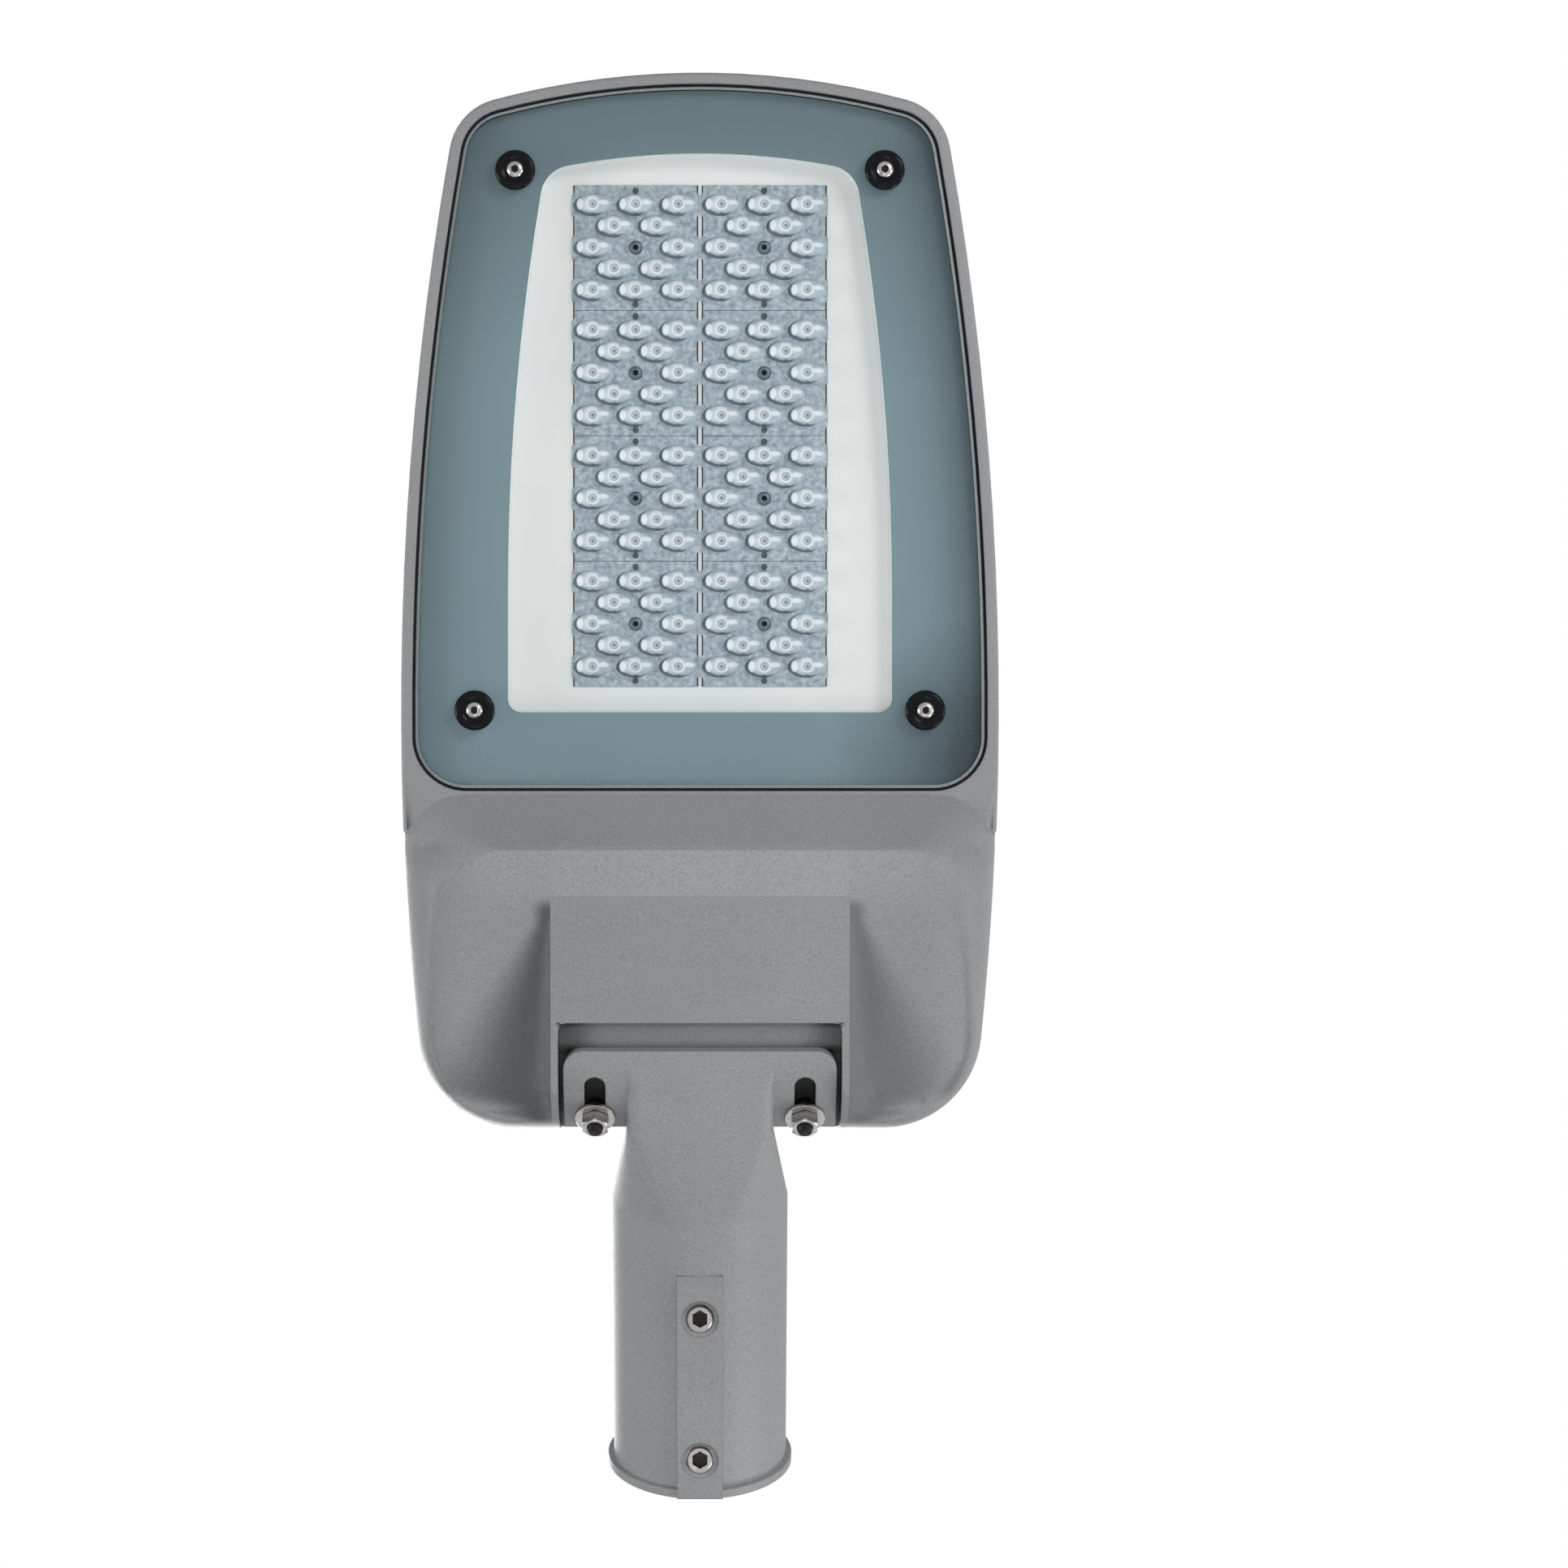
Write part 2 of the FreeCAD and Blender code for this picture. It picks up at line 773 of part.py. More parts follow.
def add_strip(body):
    """The flat strip that carries the set screws, with a slope where it ends before the neck."""
    sketch = station(body, 0)
    add_box(sketch, -size("strip_half_width"), STRIP_FACE, size("strip_half_width"), SOLE + OVERLAP)
    pad(body, sketch, size("strip_length"), backwards=True)
    end, face = float(size("strip_length")), float(STRIP_FACE)

    def end_edge(edge):
        box = edge.BoundBox
        return abs(box.YMin - end) < 0.01 and box.ZLength < 0.01 and abs(box.ZMin - face) < 0.01

    rounded(body, size("strip_height") * 0.9, end_edge, kind="Chamfer")


def cut_screw_holes(body):
    for number in (0, 1):
        sketch = screw_sketch(body, number, 0)
        add_circle(sketch, 0, 0, size("set_screw_radius"))
        pocket(body, sketch, SCREW_WALL + OVERCUT, backwards=True)
        sketch = screw_sketch(body, number, size("screw_seat_depth"))
        add_circle(sketch, 0, 0, size("screw_seat_radius"))
        pocket(body, sketch, size("screw_seat_depth") + OVERCUT)


def make_spigot():
    body = new_body("spigot")
    sketch = station(body, 0)
    add_circle(sketch, 0, 0, size("tube_radius"))
    pad(body, sketch, size("neck_start"), backwards=True)

    heel = SOLE + size("heel_height")
    corner = size("neck_corner")
    loft(
        body,
        [
            round_section(body, size("neck_start"), size("tube_radius"), size("ridge_half_width")),
            box_section(body, size("waist_start"), size("waist_half_width"), SOLE, heel, corner),
            box_section(body, size("waist_end"), size("waist_half_width"), SOLE, heel, corner),
            box_section(body, size("socket_to_centre"), size("fan_half_width"), SOLE, heel, corner),
        ],
    )
    centre = spigot_centre()
    sketch = new_sketch(body, "YZ_Plane")
    add_sector(sketch, centre, FLANGE_INNER - OVERLAP, size("flange_radius"), 0, size("flange_end"))
    pad(body, sketch, size("flange_half_width") * 2, both=True)
    edge_x = float(size("flange_half_width"))

    def top_corner(edge):
        upright = edge.BoundBox.YLength < 0.01 and edge.BoundBox.XLength < 0.01
        return upright and abs(abs(edge.BoundBox.XMin) - edge_x) < 0.01

    rounded(body, size("flange_corner"), top_corner)
    sketch = new_sketch(body, "YZ_Plane")
    add_circle(sketch, centre[0], centre[1], FLANGE_INNER)
    pocket(body, sketch, size("flange_half_width") * 4, both=True)

    cut_slots(body, centre, SLOT_HIGH, SLOT_LOW, size("slot_radius"))

    # the collar round the mouth
    sketch = station(body, 0)
    add_circle(sketch, 0, 0, size("collar_radius"))
    pad(body, sketch, size("collar_length"), backwards=True)
    add_strip(body)

    # the pole socket, with a shoulder that stops the pole, and the hollow neck
    sketch = station(body, 0)
    add_circle(sketch, 0, 0, size("socket_radius"))
    pocket(body, sketch, size("socket_length"))
    passage = size("socket_radius") - size("pole_stop")
    sketch = station(body, 0)
    add_circle(sketch, 0, 0, passage)
    pocket(body, sketch, size("neck_start"))
    wall = size("neck_wall")
    narrow = size("waist_half_width") - wall
    loft(
        body,
        [
            round_section(body, size("neck_start") - OVERLAP, passage, size("ridge_half_width")),
            box_section(body, size("waist_start"), narrow, SOLE + wall, heel - wall, corner / 2),
            box_section(body, DOOR_REAR + OVERLAP, narrow, SOLE + wall, heel - wall, corner / 2),
        ],
        cut=True,
    )
    cut_door(body, -(SOLE + size("sole_wall")))
    cut_screw_holes(body)
    place_on_spigot(body)
    return body


def make_spigot_gasket():
    body = new_body("spigot_gasket")
    centre = spigot_centre()
    sketch = new_sketch(body, "YZ_Plane")
    inner = FLANGE_INNER - size("pad_thickness")
    end = size("flange_end") - size("pad_margin")
    add_sector(sketch, centre, inner, FLANGE_INNER, size("pad_margin"), end)
    pad(body, sketch, (size("flange_half_width") - size("pad_margin")) * 2, both=True)
    cut_slots(body, centre, SLOT_HIGH, SLOT_LOW, size("slot_radius"))
    cut_door(body, size("flange_radius"))
    place_on_spigot(body)
    return body


# The housing and what is shaped by its outline.


def add_head_outline(sketch, inset, rear, rear_corner, front=None, front_corner=None):
    """The head's outline, drawn in by an inset. Without a front line it runs round the nose."""
    inset = as_size(inset)
    middle = size("head_half_width") - size("side_radius")
    side = Round(middle, size("widest_y"), size("side_radius") - inset)
    nose = Round(0, size("head_length") - size("nose_radius"), size("nose_radius") - inset)
    if front is None:
        add_outline(sketch, Level(rear), [side], nose, [rear_corner, size("nose_corner") - inset])
    else:
        add_outline(sketch, Level(rear), [side], Level(front), [rear_corner, front_corner])


def add_window_outline(sketch, grow):
    """The clear window of the glass, grown by a margin."""
    grow = as_size(grow)
    bottom = Level(size("window_bottom_y") - grow)
    middle = size("window_half_width") - size("window_side_radius")
    side = Round(middle, size("window_bend_y"), size("window_side_radius") + grow)
    top = Round(0, size("window_top_y") - size("window_top_radius"), size("window_top_radius") + grow)
    corners = [size("window_corner_low") + grow, None, size("window_corner_high") + grow]
    add_outline(sketch, bottom, [Upright(), side], top, corners)


GLASS_INNER = size("glass_set_back") + size("glass_thickness")
PRINT_INNER = GLASS_INNER + size("print_thickness")
SHELF = PRINT_INNER + size("gasket_thickness")
BAY_CEILING = SHELF + size("bay_depth")
GLASS_INSET = size("rim_width") + size("rim_gap")
BOARD_FACE = BAY_CEILING - size("board_thickness")
PLATE_FACE = BOARD_FACE - size("plate_thickness")
COVER_BASE = size("parting_z") + size("seal_thickness")
BULGE_ANGLES = (0, 20, 40, 58, 73, 84, 90)

# The cover's rounded edge: how far below its top, and how far in from its side, as shares of the round.
COVER_CROWN = ((1.0, 0.0), (0.3, 0.3), (0.0, 1.0))
FIXINGS = [
    (-size("fixing_front_x"), size("fixing_front_y")),
    (size("fixing_front_x"), size("fixing_front_y")),
    (-size("fixing_rear_x"), size("fixing_rear_y")),
    (size("fixing_rear_x"), size("fixing_rear_y")),
]


def side_x(y):
    """Half the head's width at the belt line, at a distance from its rear edge."""
    off, radius = y - size("widest_y"), size("side_radius")
    return size("head_half_width") - radius + root(radius * radius - off * off)


def cover_screw_places():
    """Right half of the cover's screws: two in bosses beside the compartment and one ahead of it."""
    places = []
    for name in ("rear", "side", "front"):
        y = size(f"screw_{name}_y")
        places.append((side_x(y) - size(f"screw_{name}_in"), y))
    return places


def add_pairs(sketch, places, radius):
    """A circle at each place and at its mirror image."""
    for x, y in places:
        add_circle(sketch, -x, y, radius)
        add_circle(sketch, x, y, radius)


def draft_inset(z):
    """How far the housing's side has come in at a height above its belt line."""
    return size("roof_inset") * (as_size(z) - size("belt_z")) / (size("gear_height") - size("belt_z"))


def module_centres():
    across = (size("module_side") + size("module_gap_x")) / 2
    along = size("module_side") + size("module_gap_y")
    return [
        (across * side, size("array_centre_y") + along * row)
        for row in (1.5, 0.5, -0.5, -1.5)
        for side in (-1, 1)
    ]


def make_bulge(body):
    """The deep belly under the gear compartment.

    Its sides and rear round over from the belt line to the flat underside in a quarter of an ellipse, and its
    front is one straight slope up to the rim of the glass.
    """
    height = size("belt_z") + size("bulge_depth")
    sections = []
    for degrees in BULGE_ANGLES:
        run = 1 - cosine(degrees)
        z = size("belt_z") - height * sine(degrees)
        sketch = new_sketch(body, "XY_Plane", z)
        front = size("bulge_front_y") + z * size("bulge_front_run") / size("bulge_depth")
        rear_corner = size("rear_corner") - size("bulge_corner_loss") * run
        front_corner = size("bulge_front_corner") - size("bulge_corner_loss") * run / 2
        inset = size("bulge_side_run") * run
        add_head_outline(sketch, inset, size("bulge_rear_run") * run, rear_corner, front, front_corner)
        sections.append(sketch)
    return loft(body, sections, ruled=False)


def cut_shoulders(body):
    """The belly falls away on both sides of the block that carries the saddle."""
    sections = []
    low = -size("bulge_depth")
    slope = size("block_side_slope")
    under = size("block_half_width") / slope / 2
    outside = size("head_half_width") + OVERCUT
    for y in (size("shoulder_start_y") + OVERCUT, as_size(-OVERCUT)):
        rise = (size("shoulder_start_y") - y) * sine(size("shoulder_drop")) / cosine(size("shoulder_drop"))
        sketch = station(body, y)
        points = [
            (size("block_half_width") - slope * under, low - under),
            (outside, low - under),
            (outside, low + rise),
            (size("block_half_width") + slope * rise, low + rise),
        ]
        add_profile(sketch, points)
        sections.append(sketch)
    cut = loft(body, sections, cut=True)
    return mirrored(body, cut, "YZ_Plane")


def cut_saddle(body):
    """The slope under the block, and the recess that takes the spigot's flange."""
    low = -size("bulge_depth")
    start, behind = size("block_start_y"), as_size(-OVERCUT)
    rise = (start - behind) * sine(size("block_slope")) / cosine(size("block_slope"))
    sketch = new_sketch(body, "YZ_Plane")
    add_profile(sketch, [(start, low), (behind, low + rise), (behind, low - OVERCUT), (start, low - OVERCUT)])
    pocket(body, sketch, size("head_half_width") * 2, both=True)

    centre = head_centre()
    half = size("block_half_width") - size("cheek")
    sketch = new_sketch(body, "YZ_Plane")
    outer = size("flange_radius") * 1.7
    add_sector(sketch, centre, SEAT_RADIUS, outer, size("recess_start"), size("recess_end"))
    pocket(body, sketch, half * 2, both=True)
    front = [float(on_circle(centre, radius, size("recess_start"))[0]) for radius in (SEAT_RADIUS, outer)]

    def front_corner(edge):
        box = edge.BoundBox
        on_side = box.XLength < 0.01 and abs(abs(box.XMin) - float(half)) < 0.01
        return on_side and box.YMax < front[0] + 0.01 and box.YMin > front[1] and box.ZLength > 1

    rounded(body, size("recess_corner"), front_corner)


def cut_saddle_holes(body):
    """The studs' holes and the cable's way in, through the seat of the saddle."""
    centre = head_centre()
    sketch = new_sketch(body, "YZ_Plane")
    inner = SEAT_RADIUS - size("seat_hole_depth")
    add_sector(sketch, centre, inner, SEAT_RADIUS + OVERCUT, size("seat_hole_start"), size("seat_hole_end"))
    pocket(body, sketch, size("seat_hole_half_width") * 2, both=True)
    sketch = turned_sketch(body, centre, size("stud_angle"), SEAT_RADIUS - size("stud_depth"))
    add_pairs(sketch, [(size("stud_x"), 0)], size("stud_radius") + THREAD_GAP)
    pocket(body, sketch, size("flange_radius") / 2)


def make_housing():
    body = new_body("housing")
    belt = size("belt_z")
    sections = []
    for z, inset in ((belt, as_size(0)), (size("gear_height"), size("roof_inset"))):
        sketch = new_sketch(body, "XY_Plane", z)
        add_head_outline(sketch, inset, inset, size("rear_corner") - inset)
        sections.append(sketch)
    loft(body, sections)
    sketch = new_sketch(body, "XY_Plane", belt)
    add_head_outline(sketch, 0, size("slab_rear_y"), size("rim_round"))
    pad(body, sketch, belt, backwards=True)

    def rim(edge):
        box = edge.BoundBox
        behind = box.YMax < float(size("slab_rear_y") + size("rim_round")) + 0.01
        return abs(box.ZMin) < 0.001 and abs(box.ZMax) < 0.001 and not behind

    rounded(body, size("rim_round"), rim)
    make_bulge(body)
    cut_shoulders(body)
    cut_saddle(body)

    # the roof: open over the gear compartment, then falling to the nose in one long arc
    sketch = new_sketch(body, "YZ_Plane")
    above = size("gear_height") + OVERCUT
    flat_end = size("roof_flat_end")
    add_box(sketch, -OVERCUT, size("parting_z"), flat_end, above)
    pocket(body, sketch, size("head_half_width") * 3, both=True)
    drop = size("gear_height") - size("nose_height")
    run = size("head_length") - flat_end
    radius = (run * run + drop * drop) / (drop * 2)
    beyond = run + OVERCUT
    sketch = new_sketch(body, "YZ_Plane")
    low_end = size("gear_height") - radius + root(radius * radius - beyond * beyond)
    points = [
        (flat_end, size("gear_height")),
        (flat_end + beyond, low_end),
        (flat_end + beyond, above),
        (flat_end, above),
    ]
    add_profile(sketch, points, {0: ((flat_end, size("gear_height") - radius), radius, True)})
    pocket(body, sketch, size("head_half_width") * 3, both=True)

    def roof_edge(edge):
        box = edge.BoundBox
        return box.ZMin > float(size("nose_height") - size("roof_round")) and box.YMax > float(flat_end) + 1

    rounded(body, size("roof_round"), roof_edge)

    # cooling fins
    half = size("fin_pitch") * (size("fin_count") - 1) / 2
    sketch = new_sketch(body, "YZ_Plane", -half)
    add_box(sketch, size("fin_start_y"), size("fin_floor"), size("head_length") + OVERCUT, above)
    slot = pocket(body, sketch, size("fin_gap"), both=True)
    repeated(body, slot, "X_Axis", half * 2, size("fin_count"))

    # gear compartment, with its bosses and its deeper well over the saddle
    sketch = new_sketch(body, "XY_Plane", size("parting_z"))
    corner = size("rear_corner") - size("cavity_inset")
    inset, rear, front = size("cavity_inset"), size("cavity_rear_y"), size("cavity_front_y")
    add_head_outline(sketch, inset, rear, corner, front, size("cavity_corner"))
    pocket(body, sketch, size("parting_z") - size("cavity_floor"))
    sketch = new_sketch(body, "XY_Plane", size("cavity_floor"))
    add_pairs(sketch, cover_screw_places()[:2], size("boss_radius"))
    pad(body, sketch, size("parting_z") - size("cavity_floor"))
    sketch = new_sketch(body, "XY_Plane", size("parting_z"))
    add_pairs(sketch, cover_screw_places(), size("cover_screw_radius") + THREAD_GAP)
    pocket(body, sketch, size("cover_screw_depth"))
    sketch = new_sketch(body, "XY_Plane", size("cavity_floor"))
    width = size("well_half_width")
    add_box(sketch, -width, size("well_rear_y"), width, size("well_front_y"))
    pocket(body, sketch, size("well_depth"))

    # pocket for the glass, bay for the LEDs, and the cable's way between bay and compartment
    sketch = new_sketch(body, "XY_Plane", 0)
    corner = size("glass_corner") + size("rim_gap")
    add_head_outline(sketch, size("rim_width"), size("glass_bottom_y") - size("rim_gap"), corner)
    pocket(body, sketch, SHELF, backwards=True)
    sketch = new_sketch(body, "XY_Plane", SHELF)
    add_window_outline(sketch, size("bay_margin"))
    pocket(body, sketch, size("bay_depth"), backwards=True)
    sketch = new_sketch(body, "XY_Plane", SHELF)
    for x, y in FIXINGS:
        add_circle(sketch, x, y, size("fixing_radius") + THREAD_GAP)
    pocket(body, sketch, size("fixing_length") - SHELF, backwards=True)
    sketch = new_sketch(body, "XY_Plane", BAY_CEILING)
    for x, y in module_centres():
        add_circle(sketch, x, y, size("lens_screw_radius") + THREAD_GAP)
    tip = PLATE_FACE + size("lens_screw_length") + size("fit_gap")
    pocket(body, sketch, tip - BAY_CEILING, backwards=True)
    sketch = station(body, size("cavity_front_y") - OVERLAP)
    add_circle(sketch, 0, size("duct_height"), size("duct_radius"))
    pocket(body, sketch, size("window_bottom_y") - size("cavity_front_y"))
    cut_saddle_holes(body)
    place_on_head(body)
    return body


# Pieces that are turned, and copies of a piece.


def turned(body, profile):
    """A solid of revolution about the upright axis. The profile's points are radius and height."""
    sketch = new_sketch(body, "XZ_Plane")
    add_profile(sketch, [(radius, z) for radius, z in profile])
    made = feature(body, "Revolution", sketch)
    made.ReferenceAxis = (sketch, ["V_Axis"])
    made.Angle = 360
    doc.recompute()
    return made


def hexagon(sketch, x, y, flats):
    """A hexagon, held by a circle that touches its flats."""
    flats = as_size(flats)
    reach = flats / math.sqrt(3)
    x, y = as_size(x), as_size(y)
    turns = [math.pi * number / 3 for number in range(6)]
    add_profile(sketch, [(x + reach * math.cos(turn), y + reach * math.sin(turn)) for turn in turns])


def shift(thing, x, y, z):
    """Place a piece that is drawn about its own axis, in the housing's frame."""
    x, y, z = as_size(x), HEAD["y"] + y, HEAD["z"] + z
    thing.Placement = FreeCAD.Placement(Vector(x.value, y.value, z.value), FreeCAD.Rotation())
    for name, number in (("x", x), ("y", y), ("z", z)):
        thing.setExpression(f"Placement.Base.{name}", number.text)


def copy_of(original, label):
    """Another piece of the same shape, which follows the first."""
    body = new_body(label)
    body.BaseFeature = original
    return body


def repeat_at(make, label, places, z):
    """Make a piece once and copy it to each of its places."""
    made = [make(f"{label}_1")]
    made += [copy_of(made[0], f"{label}_{number}") for number in range(2, len(places) + 1)]
    doc.recompute()
    for piece, (x, y) in zip(made, places):
        shift(piece, x, y, z)
    return made


# The gear compartment's cover, and its seal and screws.


def make_gear_cover():
    body = new_body("gear_cover")
    front = size("roof_flat_end") - size("cover_gap")
    sections = []
    crown = size("cover_round")
    heights = [(COVER_BASE, 0.0)]
    heights += [(size("gear_height") - crown * drop, extra) for drop, extra in COVER_CROWN]
    for z, extra in heights:
        inset = draft_inset(z) + crown * extra
        sketch = new_sketch(body, "XY_Plane", z)
        corner = crown * (1 - extra) + 1
        add_head_outline(sketch, inset, inset, size("rear_corner") - inset, front - crown * extra, corner)
        sections.append(sketch)
    loft(body, sections)
    height = size("gear_height") - size("cover_wall") - COVER_BASE
    sketch = new_sketch(body, "XY_Plane", COVER_BASE)
    corner = size("rear_corner") - size("cavity_inset")
    inset, rear, inner = size("cavity_inset"), size("cavity_rear_y"), size("cavity_front_y")
    add_head_outline(sketch, inset, rear, corner, inner, size("cavity_corner"))
    pocket(body, sketch, height, backwards=True)
    sketch = new_sketch(body, "XY_Plane", COVER_BASE)
    add_pairs(sketch, cover_screw_places()[:2], size("boss_radius"))
    pad(body, sketch, height)
    sketch = new_sketch(body, "XY_Plane", size("gear_height"))
    add_pairs(sketch, cover_screw_places(), size("cover_screw_radius") + size("fit_gap"))
    pocket(body, sketch, size("gear_height") - COVER_BASE + OVERCUT)
    sketch = new_sketch(body, "XY_Plane", size("gear_height"))
    add_pairs(sketch, cover_screw_places(), size("cover_head_radius") + size("fit_gap") * 3)
    pocket(body, sketch, size("cover_screw_sink"))
    place_on_head(body)
    return body


def make_cover_gasket():
    """A flat cord of rubber that runs round the compartment, outside its screws."""
    body = new_body("cover_gasket")
    sketch = new_sketch(body, "XY_Plane", size("parting_z"))
    inset = size("seal_inset")
    front = size("cavity_front_y") + size("cavity_inset") - inset
    add_head_outline(sketch, inset, inset, size("rear_corner") - inset, front, size("cavity_corner"))
    inner = size("cavity_inset")
    front = size("cavity_front_y")
    corner = size("rear_corner") - inner
    add_head_outline(sketch, inner, size("cavity_rear_y"), corner, front, size("cavity_corner"))
    pad(body, sketch, size("seal_thickness"))
    sketch = new_sketch(body, "XY_Plane", size("parting_z"))
    add_pairs(sketch, cover_screw_places()[:2], size("boss_radius"))
    pocket(body, sketch, size("seal_thickness") * 2, both=True)
    place_on_head(body)
    return body


def make_socket_screw(label, shank, length, head, head_height, socket):
    """A screw that stands head up: its seat is at height zero."""
    body = new_body(label)
    profile = [(0, -length), (shank, -length), (shank, 0), (head, 0), (head, head_height), (0, head_height)]
    turned(body, profile)
    sketch = new_sketch(body, "XY_Plane", head_height)
    hexagon(sketch, 0, 0, socket)
    pocket(body, sketch, head_height * 0.7)
    return body


def make_cover_screw(label):
    shank, length = size("cover_screw_radius"), size("cover_screw_length")
    head, height = size("cover_head_radius"), size("cover_head_height")
    return make_socket_screw(label, shank, length, head, height, size("cover_screw_socket"))


# The glass, its print, its seal and its fixings.


def add_glass_outline(sketch, grow):
    inset = GLASS_INSET - grow
    corner = size("glass_corner") + grow
    add_head_outline(sketch, inset, size("glass_bottom_y") - grow, corner)


def add_fixing_circles(sketch, radius):
    for x, y in FIXINGS:
        add_circle(sketch, x, y, radius)


def make_glass_cover():
    body = new_body("glass_cover")
    sketch = new_sketch(body, "XY_Plane", size("glass_set_back"))
    add_glass_outline(sketch, as_size(0))
    add_fixing_circles(sketch, size("fixing_radius") + size("fit_gap"))
    pad(body, sketch, size("glass_thickness"))
    place_on_head(body)
    return body


def make_glass_print():
    """The grey border fired on the inner face of the glass, open over the clear window."""
    body = new_body("glass_print")
    sketch = new_sketch(body, "XY_Plane", GLASS_INNER)
    add_glass_outline(sketch, as_size(0))
    add_window_outline(sketch, 0)
    add_fixing_circles(sketch, size("fixing_radius") + size("fit_gap"))
    pad(body, sketch, size("print_thickness"))
    place_on_head(body)
    return body


def make_glass_gasket():
    """A silicone profile between glass and shelf, whose lip fills the gap round the glass."""
    body = new_body("glass_gasket")
    edge = size("rim_gap") - SCREW_GAP
    sketch = new_sketch(body, "XY_Plane", PRINT_INNER)
    add_glass_outline(sketch, edge)
    add_glass_outline(sketch, -size("gasket_width"))
    pad(body, sketch, size("gasket_thickness"))
    sketch = new_sketch(body, "XY_Plane", PRINT_INNER)
    add_glass_outline(sketch, edge)
    add_glass_outline(sketch, as_size(SCREW_GAP))
    pad(body, sketch, PRINT_INNER - size("glass_set_back") - size("gasket_sink"), backwards=True)
    place_on_head(body)
    return body


def make_glass_washer(label):
    """A dished black washer. It stands on the outer face of the glass, at height zero, and hangs below it."""
    body = new_body(label)
    hole, rim = size("fixing_radius") + SCREW_GAP, size("washer_radius")
    thick, dish = size("washer_thickness"), size("washer_dish")
    slope = thick - dish
    profile = [
        (hole, 0),
        (hole, -dish),
        (size("washer_recess"), -dish),
        (size("washer_recess") + slope, -thick),
        (rim - slope * 2, -thick),
        (rim, slope - thick),
        (rim, 0),
    ]
    turned(body, profile)
    return body


def make_glass_screw(label):
    """Stands in the washer's dish with its head down. Height zero is the outer face of the glass."""
    body = new_body(label)
    seat = -size("washer_dish")
    low = seat - size("fixing_head_height")
    tip = size("fixing_length") - size("glass_set_back") - 1
    head, shank = size("fixing_head_radius"), size("fixing_radius")
    bevel = size("fixing_head_height") / 4
    flat = [(0, low), (head - bevel, low), (head, low + bevel), (head, seat)]
    turned(body, [*flat, (shank, seat), (shank, tip), (0, tip)])
    sketch = new_sketch(body, "XY_Plane", low)
    hexagon(sketch, 0, 0, size("fixing_socket"))
    pocket(body, sketch, size("fixing_head_height") * 0.7, backwards=True)
    return body


# The LED array: boards, lens plates and their screws, in the white tray that shows round them.


def make_led_board(label):
    """A square board with its chips underneath. Height zero is the bay's ceiling."""
    body = new_body(label)
    half = size("module_side") / 2 - size("board_gap")
    sketch = new_sketch(body, "XY_Plane", 0)
    add_box(sketch, -half, -half, half, half)
    add_circle(sketch, 0, 0, size("lens_screw_radius") + SCREW_GAP)
    pad(body, sketch, size("board_thickness"), backwards=True)
    sketch = new_sketch(body, "XY_Plane", -size("board_thickness"))
    chip = size("chip_side") / 2
    for x, y in dome_places():
        add_box(sketch, x - chip, y - chip, x + chip, y + chip)
    pad(body, sketch, size("chip_height"), backwards=True)
    return body


def dome_places():
    """Twelve lenses in five staggered rows: three, two, two beside the screw, two, three."""
    across, along = size("dome_pitch_x"), size("dome_pitch_y")
    rows = [(2, (-1, 0, 1)), (1, (-0.5, 0.5)), (0, (-1, 1)), (-1, (-0.5, 0.5)), (-2, (-1, 0, 1))]
    return [(across * column, along * row) for row, columns in rows for column in columns]


def pad_domes(body, places):
    """Eight-sided lenses with bevelled tops."""
    sketch = new_sketch(body, "XY_Plane", -size("plate_thickness"))
    long_half, short_half = size("dome_length") / 2, size("dome_width") / 2
    cut_x, cut_y = size("dome_cut_x"), size("dome_cut_y")
    for x, y in places:
        points = [
            (x - long_half + cut_x, y - short_half),
            (x + long_half - cut_x, y - short_half),
            (x + long_half, y - short_half + cut_y),
            (x + long_half, y + short_half - cut_y),
            (x + long_half - cut_x, y + short_half),
            (x - long_half + cut_x, y + short_half),
            (x - long_half, y + short_half - cut_y),
            (x - long_half, y - short_half + cut_y),
        ]
        add_profile(sketch, points)
    return pad(body, sketch, size("dome_height"), backwards=True)


def make_lens_plate(label):
    """A clear plate of twelve batwing lenses. Height zero is its face against the board."""
    body = new_body(label)
    half = size("module_side") / 2 - size("plate_gap")
    sketch = new_sketch(body, "XY_Plane", 0)
    add_box(sketch, -half, -half, half, half)
    add_circle(sketch, 0, 0, size("lens_screw_radius") + SCREW_GAP)
    pad(body, sketch, size("plate_thickness"), backwards=True)
    places = dome_places()
    pad_domes(body, [(x, y) for x, y in places if abs(float(y)) < 1])
    outer = pad_domes(body, [(x, y) for x, y in places if float(y) > 1])
    mirrored(body, outer, "XZ_Plane")
    top = -float(size("plate_thickness") + size("dome_height"))
    rounded(body, size("dome_bevel"), lambda edge: edge.BoundBox.ZMax < top + 0.01, "Chamfer")
    sketch = new_sketch(body, "XY_Plane", 0)
    inner = half - size("plate_wall")
    add_box(sketch, -inner, -inner, inner, inner)
    add_circle(sketch, 0, 0, size("lens_screw_head"))
    pocket(body, sketch, size("plate_recess"))
    return body


def make_lens_screws():
    """One screw through the middle of each lens plate, all alike."""
    shank, length = float(size("lens_screw_radius")), float(size("lens_screw_length"))
    head, height = float(size("lens_screw_head")), float(size("lens_screw_head_height"))
    face = float(PLATE_FACE)
    screws = []
    for x, y in module_centres():
        seat = Vector(float(x), float(y), face)
        screw = Part.makeCylinder(head, height, seat - Vector(0, 0, height))
        screws.append(screw.fuse(Part.makeCylinder(shank, length, seat)).removeSplitter())
    piece = doc.addObject("Part::Feature", "lens_screws")
    piece.Label = "lens_screws"
    piece.Shape = Part.makeCompound(screws)
    place_on_head(piece)
    return piece


